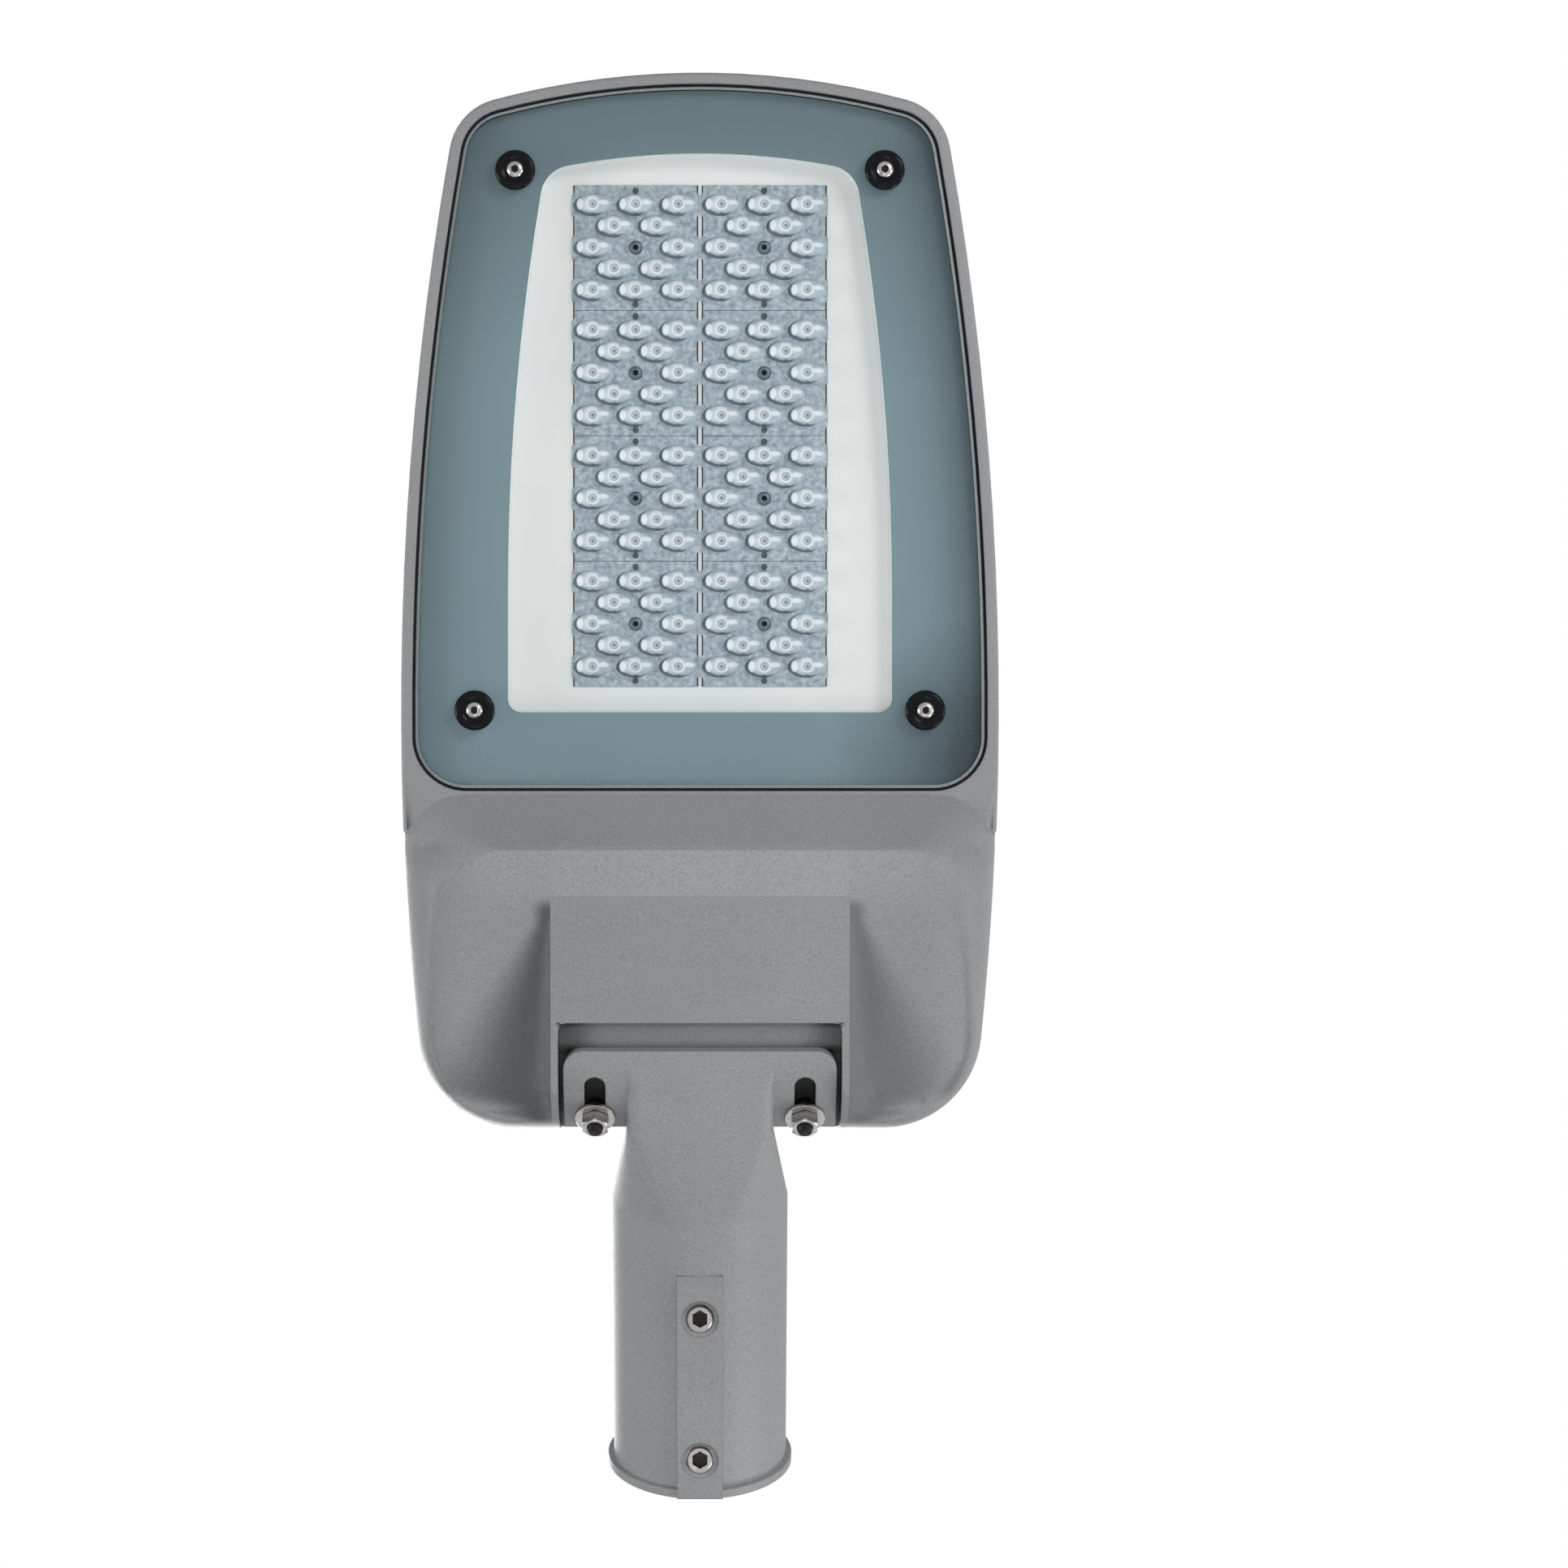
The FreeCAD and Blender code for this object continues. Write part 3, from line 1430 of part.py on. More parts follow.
def make_reflector_tray():
    """The white tray: a flange on the shelf, a sloping wall, and a floor open at the lens plates."""
    body = new_body("reflector_tray")
    run, foot, thick = size("tray_wall_run"), size("tray_foot"), size("tray_thickness")
    floor = size("tray_base_z")
    rim = SHELF - thick
    slope = (run - foot) / (floor + thick - rim)
    outer = []
    for z, grow in ((rim, run), (floor + thick, foot)):
        sketch = new_sketch(body, "XY_Plane", z)
        add_window_outline(sketch, grow)
        outer.append(sketch)
    loft(body, outer)
    sketch = new_sketch(body, "XY_Plane", rim)
    add_window_outline(sketch, run + size("tray_flange"))
    pad(body, sketch, thick)
    inner = []
    for z, grow in ((rim - thick / 2, run - thick + slope * thick / 2), (floor, foot - thick)):
        sketch = new_sketch(body, "XY_Plane", z)
        add_window_outline(sketch, grow)
        inner.append(sketch)
    loft(body, inner, cut=True)
    sketch = new_sketch(body, "XY_Plane", floor + thick * 2)
    gap = size("tray_gap")
    near = size("module_gap_x") / 2 - gap
    far = size("module_side") + size("module_gap_x") / 2 + gap
    along = size("module_side") * 2 + size("module_gap_y") * 1.5 + gap
    middle = size("array_centre_y")
    add_box(sketch, near, middle - along, far, middle + along)
    add_box(sketch, -far, middle - along, -near, middle + along)
    pocket(body, sketch, thick * 3)
    place_on_head(body)
    return body


# What the gear compartment holds.


def make_led_driver():
    body = new_body("led_driver")
    half_x, half_y = size("driver_length") / 2, size("driver_width") / 2
    middle = size("driver_y")
    sketch = new_sketch(body, "XY_Plane", size("cavity_floor"))
    tab, deep = size("driver_tab"), half_y - size("driver_tab_inset")
    add_box(sketch, -(half_x + tab), middle - deep, half_x + tab, middle + deep)
    for side in (-1, 1):
        add_circle(sketch, (half_x + tab / 2) * side, middle, size("driver_screw_radius") + SCREW_GAP)
    pad(body, sketch, size("driver_tab_height"))
    sketch = new_sketch(body, "XY_Plane", size("cavity_floor"))
    add_box(sketch, -half_x, middle - half_y, half_x, middle + half_y)
    pad(body, sketch, size("driver_height"))

    def upright(edge):
        box = edge.BoundBox
        on_end = abs(abs(box.XMin) - float(half_x)) < 0.01 and box.XLength < 0.01
        on_side = abs(abs(box.YMin - float(middle)) - float(half_y)) < 0.01 and box.YLength < 0.01
        return on_end and on_side

    rounded(body, size("driver_corner"), upright)
    place_on_head(body)
    return body


def make_driver_screw(label):
    body = new_body(label)
    shank, head = size("driver_screw_radius"), size("driver_screw_head")
    seat, top = size("driver_tab_height"), size("driver_tab_height") + size("driver_screw_radius")
    turned(body, [(0, 0), (shank, 0), (shank, seat), (head, seat), (head, top), (0, top)])
    return body


def make_terminal_block():
    body = new_body("terminal_block")
    x, y = -size("block_x"), size("block_y")
    half, deep = size("terminal_length") / 2, size("terminal_width") / 2
    sketch = new_sketch(body, "XY_Plane", size("cavity_floor"))
    add_box(sketch, x - half, y - deep, x + half, y + deep)
    pad(body, sketch, size("terminal_height") - size("terminal_step"))
    ways = int(float(size("terminal_ways")))
    pitch = half * 2 / ways
    wide = (pitch - size("terminal_gap")) / 2
    high = deep - size("terminal_shelf")
    sketch = new_sketch(body, "XY_Plane", size("cavity_floor"))
    for way in range(ways):
        middle = x - half + pitch * (way + 0.5)
        add_box(sketch, middle - wide, y - high, middle + wide, y + high)
    pad(body, sketch, size("terminal_height"))
    place_on_head(body)
    return body


def make_surge_protector():
    body = new_body("surge_protector")
    x, y = size("block_x"), size("block_y")
    half, deep = size("arrester_length") / 2, size("arrester_width") / 2
    sketch = new_sketch(body, "XY_Plane", size("cavity_floor"))
    add_box(sketch, x - half, y - deep, x + half, y + deep)
    pad(body, sketch, size("arrester_height"))

    def upright(edge):
        return edge.BoundBox.XLength < 0.01 and edge.BoundBox.YLength < 0.01

    rounded(body, size("arrester_corner"), upright)
    place_on_head(body)
    return body


def make_cable_grommet():
    """A rubber bush in the cable's way between the gear compartment and the LED bay."""
    body = new_body("cable_grommet")
    radius, height = size("duct_radius"), size("duct_height")
    bore = radius - size("grommet_wall")
    sketch = station(body, size("cavity_front_y"))
    add_circle(sketch, 0, height, radius)
    add_circle(sketch, 0, height, bore)
    pad(body, sketch, size("grommet_length"), backwards=True)
    sketch = station(body, size("cavity_front_y"))
    add_circle(sketch, 0, height, radius + size("grommet_lip"))
    add_circle(sketch, 0, height, bore)
    pad(body, sketch, size("grommet_lip_thickness"))
    place_on_head(body)
    return body


# Fasteners of the saddle and of the pole socket.


def make_tilt_fastener(side):
    """One side's stud, washer and nut. Their sketches lie square to the stud, at a reach from the centre."""
    centre, angle = head_centre(), size("stud_angle")
    half = "left" if side < 0 else "right"
    x = size("stud_x") * side
    stud = new_body(f"tilt_stud_{half}")
    sketch = turned_sketch(stud, centre, angle, SEAT_RADIUS - size("stud_depth"))
    add_circle(sketch, x, 0, size("stud_radius"))
    length = size("flange_radius") + size("stud_reach") - SEAT_RADIUS + size("stud_depth")
    pad(stud, sketch, length, backwards=True)
    rounded(stud, size("stud_radius") / 5, lambda edge: edge.Closed, "Chamfer")

    washer = new_body(f"tilt_washer_{half}")
    seat = size("flange_radius") + size("running_gap")
    sketch = turned_sketch(washer, centre, angle, seat)
    add_circle(sketch, x, 0, size("stud_washer_radius"))
    add_circle(sketch, x, 0, size("stud_radius") + THREAD_GAP)
    pad(washer, sketch, size("stud_washer_thickness"), backwards=True)

    nut = new_body(f"tilt_nut_{half}")
    sketch = turned_sketch(nut, centre, angle, seat + size("stud_washer_thickness"))
    hexagon(sketch, x, 0, size("nut_flats"))
    add_circle(sketch, x, 0, size("stud_radius") + THREAD_GAP)
    pad(nut, sketch, size("nut_height"), backwards=True)
    pieces = [stud, washer, nut]
    for piece in pieces:
        place_on_head(piece)
    return pieces


def make_set_screw(number):
    """A socket set screw in the flat strip, its tip just short of the pole."""
    body = new_body(f"set_screw_{number}")
    lean = size("tilt_degrees")
    tip = (SCREW_WALL - size("fit_gap") - size("set_screw_radius") * sine(lean)) / cosine(lean)
    length = tip - size("set_screw_sink")
    sketch = screw_sketch(body, number - 1, size("set_screw_sink"))
    add_circle(sketch, 0, 0, size("set_screw_radius") - THREAD_GAP)
    pad(body, sketch, length)
    sketch = screw_sketch(body, number - 1, size("set_screw_sink"))
    hexagon(sketch, 0, 0, size("set_screw_socket"))
    pocket(body, sketch, length / 2, backwards=True)
    place_on_spigot(body)
    return body


def make_everything():
    pieces = [make_spigot(), make_spigot_gasket(), make_housing(), make_gear_cover(), make_cover_gasket()]
    places = [(x * side, y) for x, y in cover_screw_places() for side in (-1, 1)]
    seat = size("gear_height") - size("cover_screw_sink")
    pieces += repeat_at(make_cover_screw, "cover_screw", places, seat)
    pieces += [make_glass_cover(), make_glass_print(), make_glass_gasket()]
    pieces += repeat_at(make_glass_washer, "glass_washer", FIXINGS, size("glass_set_back"))
    pieces += repeat_at(make_glass_screw, "glass_screw", FIXINGS, size("glass_set_back"))
    pieces += repeat_at(make_led_board, "led_board", module_centres(), BAY_CEILING)
    pieces += repeat_at(make_lens_plate, "lens_plate", module_centres(), BOARD_FACE)
    pieces += [make_lens_screws(), make_reflector_tray(), make_led_driver()]
    tab = (size("driver_length") + size("driver_tab")) / 2
    places = [(tab * side, size("driver_y")) for side in (-1, 1)]
    pieces += repeat_at(make_driver_screw, "driver_screw", places, size("cavity_floor"))
    pieces += [make_terminal_block(), make_surge_protector(), make_cable_grommet()]
    for side in (-1, 1):
        pieces += make_tilt_fastener(side)
    pieces += [make_set_screw(number) for number in (1, 2)]
    return pieces


def check_and_write(pieces):
    doc.recompute()
    for thing in doc.Objects:
        if "Invalid" in thing.State or "Error" in thing.State:
            raise RuntimeError(f"{thing.Name} has failed: {thing.getStatusString()}")
    for piece in pieces:
        if piece.Shape.isNull() or not piece.Shape.isValid() or not piece.Shape.Solids:
            raise RuntimeError(f"{piece.Label} is not a sound solid")
    for piece in pieces:
        piece.Shape.exportStep(f"parts/{piece.Label}.step")
        print(piece.Label, len(piece.Shape.Solids), round(piece.Shape.Volume))


check_and_write(make_everything())
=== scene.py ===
# %% [markdown]
# # A street light head, seen from below
#
# The lamp is a grey die casting that hangs from a pole spigot, with a pane of glass, a white tray and eight
# plates of moulded lenses below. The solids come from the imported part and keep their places. This script gives
# them finishes, and adds what a drawing leaves out: domes of lenses, threads, chamfers of nuts, the ground edge
# of the glass and the soft edges of a casting.

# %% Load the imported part
import json
import math

import bmesh
import bpy
from mathutils import Matrix, Vector
from mathutils.bvhtree import BVHTree
from mathutils.geometry import tessellate_polygon


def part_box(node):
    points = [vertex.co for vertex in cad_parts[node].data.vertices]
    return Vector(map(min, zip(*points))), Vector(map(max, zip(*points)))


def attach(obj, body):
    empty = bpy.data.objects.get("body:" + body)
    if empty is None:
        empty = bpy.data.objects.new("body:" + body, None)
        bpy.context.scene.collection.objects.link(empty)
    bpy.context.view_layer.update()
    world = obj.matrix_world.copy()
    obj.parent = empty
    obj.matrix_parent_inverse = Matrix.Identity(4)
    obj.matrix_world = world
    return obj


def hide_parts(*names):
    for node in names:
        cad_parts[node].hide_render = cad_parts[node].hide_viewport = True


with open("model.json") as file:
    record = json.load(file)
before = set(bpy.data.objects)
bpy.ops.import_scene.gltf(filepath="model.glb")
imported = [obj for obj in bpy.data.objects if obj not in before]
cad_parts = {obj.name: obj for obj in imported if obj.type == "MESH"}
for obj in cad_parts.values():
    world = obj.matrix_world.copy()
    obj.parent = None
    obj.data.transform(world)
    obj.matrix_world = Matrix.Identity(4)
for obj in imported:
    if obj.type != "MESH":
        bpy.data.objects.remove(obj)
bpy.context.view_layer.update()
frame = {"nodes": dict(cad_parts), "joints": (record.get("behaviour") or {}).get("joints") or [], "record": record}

record = frame["record"]
NODES = frame["nodes"]
MM = 0.001


# %% [markdown]
# ## The camera
#
# The photograph looks straight up at the lamp with a short telephoto lens, the pole at the bottom and the nose at
# the top, so the camera's up is the part's +Y. A small shift puts the lamp left of the middle without turning the
# camera.

# %% Camera below the lamp, looking up
CAMERA_PLACE = (0, 0.2803, -1.357)
LENS_MM = 74.8
SENSOR_MM = 36.0
SHIFT_X = 0.0536


def placed(name, data, place=(0, 0, 0)):
    """A new object in the scene."""
    made = bpy.data.objects.new(name, data)
    made.location = place
    bpy.context.scene.collection.objects.link(made)
    return made


camera_data = bpy.data.cameras.new("camera")
camera_data.lens = LENS_MM
camera_data.sensor_width = SENSOR_MM
camera_data.shift_x = SHIFT_X
camera = placed("camera", camera_data, CAMERA_PLACE)
camera.rotation_euler = (0, math.pi, 0)
bpy.context.scene.camera = camera
print("camera at", CAMERA_PLACE)


# %% [markdown]
# ## Helpers for node trees
#
# Materials and Geometry Nodes are built alike: nodes, then links. Two small classes keep the lines short. What
# a node gives is wrapped as a value, and sums with values become Math nodes.

# %% Values and wiring
class Value:
    """What a node gives. Sums with it are Math nodes in the same tree."""

    def __init__(self, wiring, socket):
        self.wiring = wiring
        self.socket = socket

    def maths(self, kind, *others):
        return self.wiring.maths(kind, self, *others)

    def __add__(self, other):
        return self.maths("ADD", other)

    def __sub__(self, other):
        return self.maths("SUBTRACT", other)

    def __rsub__(self, other):
        return self.wiring.maths("SUBTRACT", other, self)

    def __mul__(self, other):
        return self.maths("MULTIPLY", other)

    def __truediv__(self, other):
        return self.maths("DIVIDE", other)


class Wiring:
    """Short ways to build a node tree."""

    def __init__(self, tree):
        self.tree = tree

    def feed(self, socket, value):
        """Link a value to a socket, or write a plain number, place or colour into it."""
        if isinstance(value, Value):
            self.tree.links.new(value.socket, socket)
        else:
            socket.default_value = (*value, 1.0) if socket.type == "RGBA" else value

    def node(self, kind, inputs=None, **settings):
        """A new node. Its inputs are given by name or by number."""
        made = self.tree.nodes.new(kind)
        for key, value in settings.items():
            setattr(made, key, value)
        for key, value in (inputs or {}).items():
            self.feed(made.inputs[key], value)
        return made

    def out(self, kind, inputs=None, port=0, **settings):
        return Value(self, self.node(kind, inputs, **settings).outputs[port])

    def maths(self, kind, *values):
        return self.out("ShaderNodeMath", dict(enumerate(values)), operation=kind)

    def split(self, vector):
        return [Value(self, part) for part in self.node("ShaderNodeSeparateXYZ", {0: vector}).outputs]

    def between(self, value, low, high, from_low=0.0, from_high=1.0):
        """Low where the value is from_low, high where it is from_high, and straight between."""
        return self.out("ShaderNodeMapRange", dict(enumerate((value, from_low, from_high, low, high))))


# %% [markdown]
# ## Helpers for materials
#
# Every finish is one shader fed by a few procedural nodes. All pieces keep their object at the origin, so object
# coordinates run through the whole lamp in metres, and a grain has its real size everywhere.

# %% A finish
class Finish(Wiring):
    """A material with one shader."""

    def __init__(self, name, colour, roughness, metallic=0.0, **sockets):
        self.material = bpy.data.materials.new(name)
        self.material.use_nodes = True
        super().__init__(self.material.node_tree)
        self.shader = self.tree.nodes["Principled BSDF"]
        self.set(Base_Color=colour, Roughness=roughness, Metallic=metallic, **sockets)
        self.place = self.out("ShaderNodeTexCoord", port="Object")

    def set(self, **sockets):
        """Feed the shader. A socket's name has low lines for its spaces."""
        for name, value in sockets.items():
            self.feed(self.shader.inputs[name.replace("_", " ")], value)

    def attribute(self, name, port="Fac"):
        return self.out("ShaderNodeAttribute", port=port, attribute_name=name)

    def noise(self, scale, detail=2.0, roughness=0.5, place=None):
        inputs = {"Vector": place or self.place, "Scale": scale, "Detail": detail, "Roughness": roughness}
        return self.out("ShaderNodeTexNoise", inputs, "Fac")

    def ramp(self, value, *stops):
        made = self.node("ShaderNodeValToRGB", {"Fac": value})
        points = made.color_ramp.elements
        while len(points) < len(stops):
            points.new(0.5)
        for point, (position, colour) in zip(points, stops):
            point.position = position
            point.color = (*(colour if isinstance(colour, tuple) else [colour] * 3), 1.0)
        return Value(self, made.outputs["Color"])

    def mix(self, amount, first, second, blend="MIX"):
        inputs = {0: amount, 6: first, 7: second}
        return self.out("ShaderNodeMix", inputs, 2, data_type="RGBA", blend_type=blend)

    def times(self, colour, *shades):
        for shade in shades:
            colour = self.mix(1.0, colour, shade, "MULTIPLY")
        return colour

    def mottled(self, noise, first, second, spread=0.2):
        """From one colour to the other as the noise passes its middle."""
        return self.mix(self.between(noise, 0, 1, 0.5 - spread, 0.5 + spread), first, second)

    def bump(self, height, strength, depth, soft_edge=0.0):
        """Small relief, depth millimetres deep. With a soft edge, sharp corners catch light as if rounded."""
        inputs = {"Height": height, "Strength": strength, "Distance": depth * MM}
        if soft_edge:
            inputs["Normal"] = self.out("ShaderNodeBevel", {"Radius": soft_edge}, samples=4)
        self.set(Normal=self.out("ShaderNodeBump", inputs))


def srgb(*colour):
    """A colour as it is read off a screen, made linear."""
    parts = [value / 255 for value in colour]
    return tuple(part / 12.92 if part <= 0.04045 else ((part + 0.055) / 1.055) ** 2.4 for part in parts)


def shaded(colour, amount):
    return tuple(amount * part for part in colour)


# %% [markdown]
# ## Grey powder coat
#
# The castings are sprayed with a textured powder: a field of tiny pebbles, a little cloudy where the film is
# thicker. The fine noise also moves the roughness, which breaks up the highlights. A die casting has no sharp
# corner, so light is rounded over its edges. A mesh may carry an attribute of painted shade and painted light:
# above zero it is painted shade that darkens the coat in hollows, and below zero painted light that lightens it.

# %% Powder coat
COAT_GREY = srgb(149, 151, 153)
CASTING_EDGE = 0.9 * MM


def powder_coat():
    finish = Finish("grey_powder_coat", COAT_GREY, 0.5, IOR=1.5, Specular_IOR_Level=0.35)
    pebbles = finish.noise(1300, 3, 0.6)
    grains = finish.noise(420, 2, 0.7)
    tone = finish.mottled(pebbles, shaded(COAT_GREY, 0.84), shaded(COAT_GREY, 1.16), 0.18)
    cloud = finish.ramp(finish.noise(14, 2), (0.3, 0.95), (0.7, 1.04))
    # painted shade where the attribute is above zero, painted light where it is below
    painted_light_factor = 1.0 - finish.attribute("painted_shade_and_light")
    finish.set(Base_Color=finish.times(tone, cloud, painted_light_factor), Roughness=finish.between(grains, 0.42, 0.60))
    finish.bump(pebbles + grains * 0.8, 0.55, 0.14, CASTING_EDGE)
    return finish.material


# %% [markdown]
# ## Glass and its printed border
#
# The pane is clear, so what shows is what lies behind it: a slate enamel border, and the white tray through the
# window. Its faces are only a film of reflection, as strong as the Fresnel law says; lamps shine through
# undimmed. Its outer edge is ground, and shows as a thin pale line. The enamel carries painted shade of the
# rim: darker towards the sides, most on the -X side, towards the nose and round a rear corner.

# %% Glass and enamel
FILM_IOR = 1.18
HEAD_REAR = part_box("housing")[0].y
SIDE_RADIUS = 1.3
HALF_WIDTH = 0.1194
WIDEST_Y = 0.168
# where the rim's painted shade fades, and how dark it is from the rim inwards on each side
RIM_SHADE_NEAR, RIM_SHADE_FAR = 0.004, 0.034
RIM_PLACES = (0.0, 0.3, 0.6, 1.0)
LEFT_SHADES = (0.72, 0.84, 0.95, 1.0)
RIGHT_SHADES = (0.5, 0.66, 0.88, 1.0)
# the middle of a painted shadow at a rear corner on the -X side
SHADOWED_CORNER = (-0.112, 0.288)


def clear_glass():
    finish = Finish("clear_glass", (1.0, 1.0, 1.0), 0.02, metallic=1.0)
    gloss = finish.out("ShaderNodeFresnel", {"IOR": FILM_IOR})
    shadow = finish.out("ShaderNodeLightPath", port="Is Shadow Ray")
    finish.set(Alpha=gloss * (1.0 - shadow))
    return finish.material


def slate_enamel():
    """The print. Its sides are arcs, so the way in from the nearer one can be worked out at every point."""
    finish = Finish("slate_enamel", srgb(120, 145, 154), 0.4, IOR=1.5, Specular_IOR_Level=0.2)
    tone = finish.mottled(finish.noise(7, 2), srgb(119, 142, 149), srgb(126, 149, 156))
    tone = finish.mix(finish.between(finish.noise(900, 2), 0, 0.10), tone, srgb(98, 120, 128))
    x, y, _ = finish.split(finish.place)
    # painted shade: darker towards the side rims, most on the -X side, towards the nose and round a rear corner
    along = y - (HEAD_REAR + WIDEST_Y)
    side = (SIDE_RADIUS**2 - along * along).maths("SQRT") + (HALF_WIDTH - SIDE_RADIUS)
    inward = finish.between(side - x.maths("ABSOLUTE"), 0, 1, RIM_SHADE_NEAR, RIM_SHADE_FAR)
    rims = [finish.ramp(inward, *zip(RIM_PLACES, shades)) for shades in (LEFT_SHADES, RIGHT_SHADES)]
    rim = finish.mix(x.maths("LESS_THAN", 0.0), *rims)
    nose = finish.between(y, 1.0, 0.68, 0.44, 0.555)
    off_x, off_y = x - SHADOWED_CORNER[0], y - SHADOWED_CORNER[1]
    far = (off_x * off_x + off_y * off_y).maths("SQRT")
    finish.set(Base_Color=finish.times(tone, rim, nose, finish.between(far, 0.4, 1.0, 0.01, 0.06)))
    finish.bump(finish.noise(300, 2), 0.08, 0.05)
    return finish.material


# %% [markdown]
# ## Plastics, rubber and steel
#
# Most small parts have a plain finish, whose tones and relief follow a noise each. Steel is a mirror with a
# direction: fine turned lines stretch its highlights, and a slow noise keeps it from looking like chrome. It
# reads that attribute of painted shade too, which paints the sockets of screws dark as shade.

# %% White sheet and the plain finishes
def white_sheet():
    finish = Finish("white_reflector", srgb(226, 229, 228), 0.42, IOR=1.46, Specular_IOR_Level=0.3)
    finish.set(Base_Color=finish.mottled(finish.noise(16, 2), srgb(230, 235, 234), srgb(238, 241, 239)))
    finish.bump(finish.noise(700, 2), 0.15, 0.05, 0.6 * MM)
    return finish.material


def plain(name, **sockets):
    """A finish with tones from one noise and relief from another. A noise is its scale and its detail."""
    colour, roughness, grain, tones, relief, strength, depth = PLAIN[name]
    finish = Finish(name, srgb(*colour), roughness, **sockets)
    stops = [(place, srgb(*tone)) for place, tone in tones.items()]
    finish.set(Base_Color=finish.ramp(finish.noise(*grain), *stops))
    finish.bump(finish.noise(*relief), strength, depth)
    return finish


def black_nylon():
    finish = plain("black_nylon", IOR=1.5, Specular_IOR_Level=0.12)
    finish.set(Roughness=finish.between(finish.noise(1600, 2), 0.14, 0.26))
    return finish.material


# each plain finish: its colour and roughness, the noise and the places of its tones, and its relief
PLAIN = {
    "black_nylon": ((14, 16, 19), 0.22, (1600, 2), {0.3: (10, 12, 15), 0.7: (20, 23, 27)}, (1600, 2), 0.12, 0.04),
    "black_rubber": ((24, 26, 28), 0.75, (60, 3), {0.35: (18, 20, 22), 0.75: (34, 36, 38)}, (1100, 2), 0.25, 0.06),
    "ground_glass_edge": (
        (150, 158, 160), 0.35, (1800, 2), {0.3: (132, 142, 145), 0.7: (172, 178, 178)}, (1800, 2), 0.2, 0.04
    ),
    "black_steel": (
        (26, 26, 28), 0.45, (420, 3), {0.35: (17, 17, 19), 0.6: (30, 30, 32), 0.85: (66, 66, 68)},
        (1500, 2), 0.2, 0.04,
    ),
    "board_mask": ((214, 220, 217), 0.4, (900, 1), {0.3: (206, 212, 208), 0.7: (224, 228, 226)}, (900, 1), 0.1, 0.04),
}


# %% Stainless steel and zinc
def steel(name, dark, light, rough, glint=0.12):
    finish = Finish(name, light, rough, metallic=1.0)
    turned = finish.out("ShaderNodeMapping", {"Vector": finish.place, "Scale": (1, 1, 0.12)})
    lines = finish.noise(2600, 2, place=turned)
    # painted shade in the sockets of screws
    painted_light_factor = 1.0 - finish.attribute("painted_shade_and_light")
    smudge = finish.between(finish.noise(180, 2), rough * 0.7, rough * 1.4, 0.3, 0.7)
    finish.set(Base_Color=finish.times(finish.ramp(lines, (0.3, dark), (0.7, light)), painted_light_factor), Roughness=smudge)
    finish.bump(lines, glint, 0.04)
    return finish.material


# %% [markdown]
# ## What lies behind
#
# Boards, driver, terminal block and surge protector are seen only when the lamp is opened, but they get a plain
# finish too.

# %% Finishes of the inner gear
def moulded(name, colour, roughness):
    finish = Finish(name, colour, roughness)
    grain = finish.noise(800, 2)
    finish.set(Base_Color=finish.mottled(grain, shaded(colour, 0.85), colour))
    finish.bump(grain, 0.25, 0.06)
    return finish.material


# %% [markdown]
# ## Lens plastic
#
# Each lens is a clear dome over one LED. From straight below it shows a bright lobe at one end, a ring with the
# dark LED in its middle, and a dark crescent where its wall turns away. Real refraction would need a great many
# light paths, so these are painted: painted highlights for the lobes and the ring, painted shade for the crescent
# and round the LED. The tree that builds the lenses stores on every point where it is on its own lens, and the
# finish reads that. The attribute's third number is one on a lens and zero on the plate and its pegs.

# %% Lens finish
# the painted highlight and painted shade of a lens, and its middle tone
LENS_BRIGHT = srgb(236, 243, 246)
LENS_DARK = srgb(98, 114, 124)
LENS_MIDDLE = srgb(176, 190, 197)
PEG_DARK = srgb(64, 78, 85)
PLATE_TONES = {0.32: (128, 145, 156), 0.5: (162, 177, 186), 0.68: (192, 204, 210)}
# each painted highlight: its middle, its radii, its sharpness and its strength
LENS_LIGHTS = [
    ((5.1, 0.0), (1.5, 2.5), 2.2, 1.0),
    ((1.2, 0.0), (5.0, 3.2), 1.6, 0.42),
    ((0.3, 2.5), (2.6, 1.3), 2.0, 0.75),
    ((-4.2, 0.6), (3.0, 1.2), 1.6, 0.7),
]
# painted shade: the crescent is one oval less another, and a dark spot lies below the lens
LENS_WALL_SHADE = [((1.5, -0.3), (7.0, 4.9), 4.0), ((-0.3, 0.4), (6.9, 4.3), 5.0)]
LENS_SHADE_BELOW = ((0.0, -4.1), (1.9, 0.9), 1.6)
LENS_EYE = ((0.0, -0.1), (0.9, 0.9), 2.0)


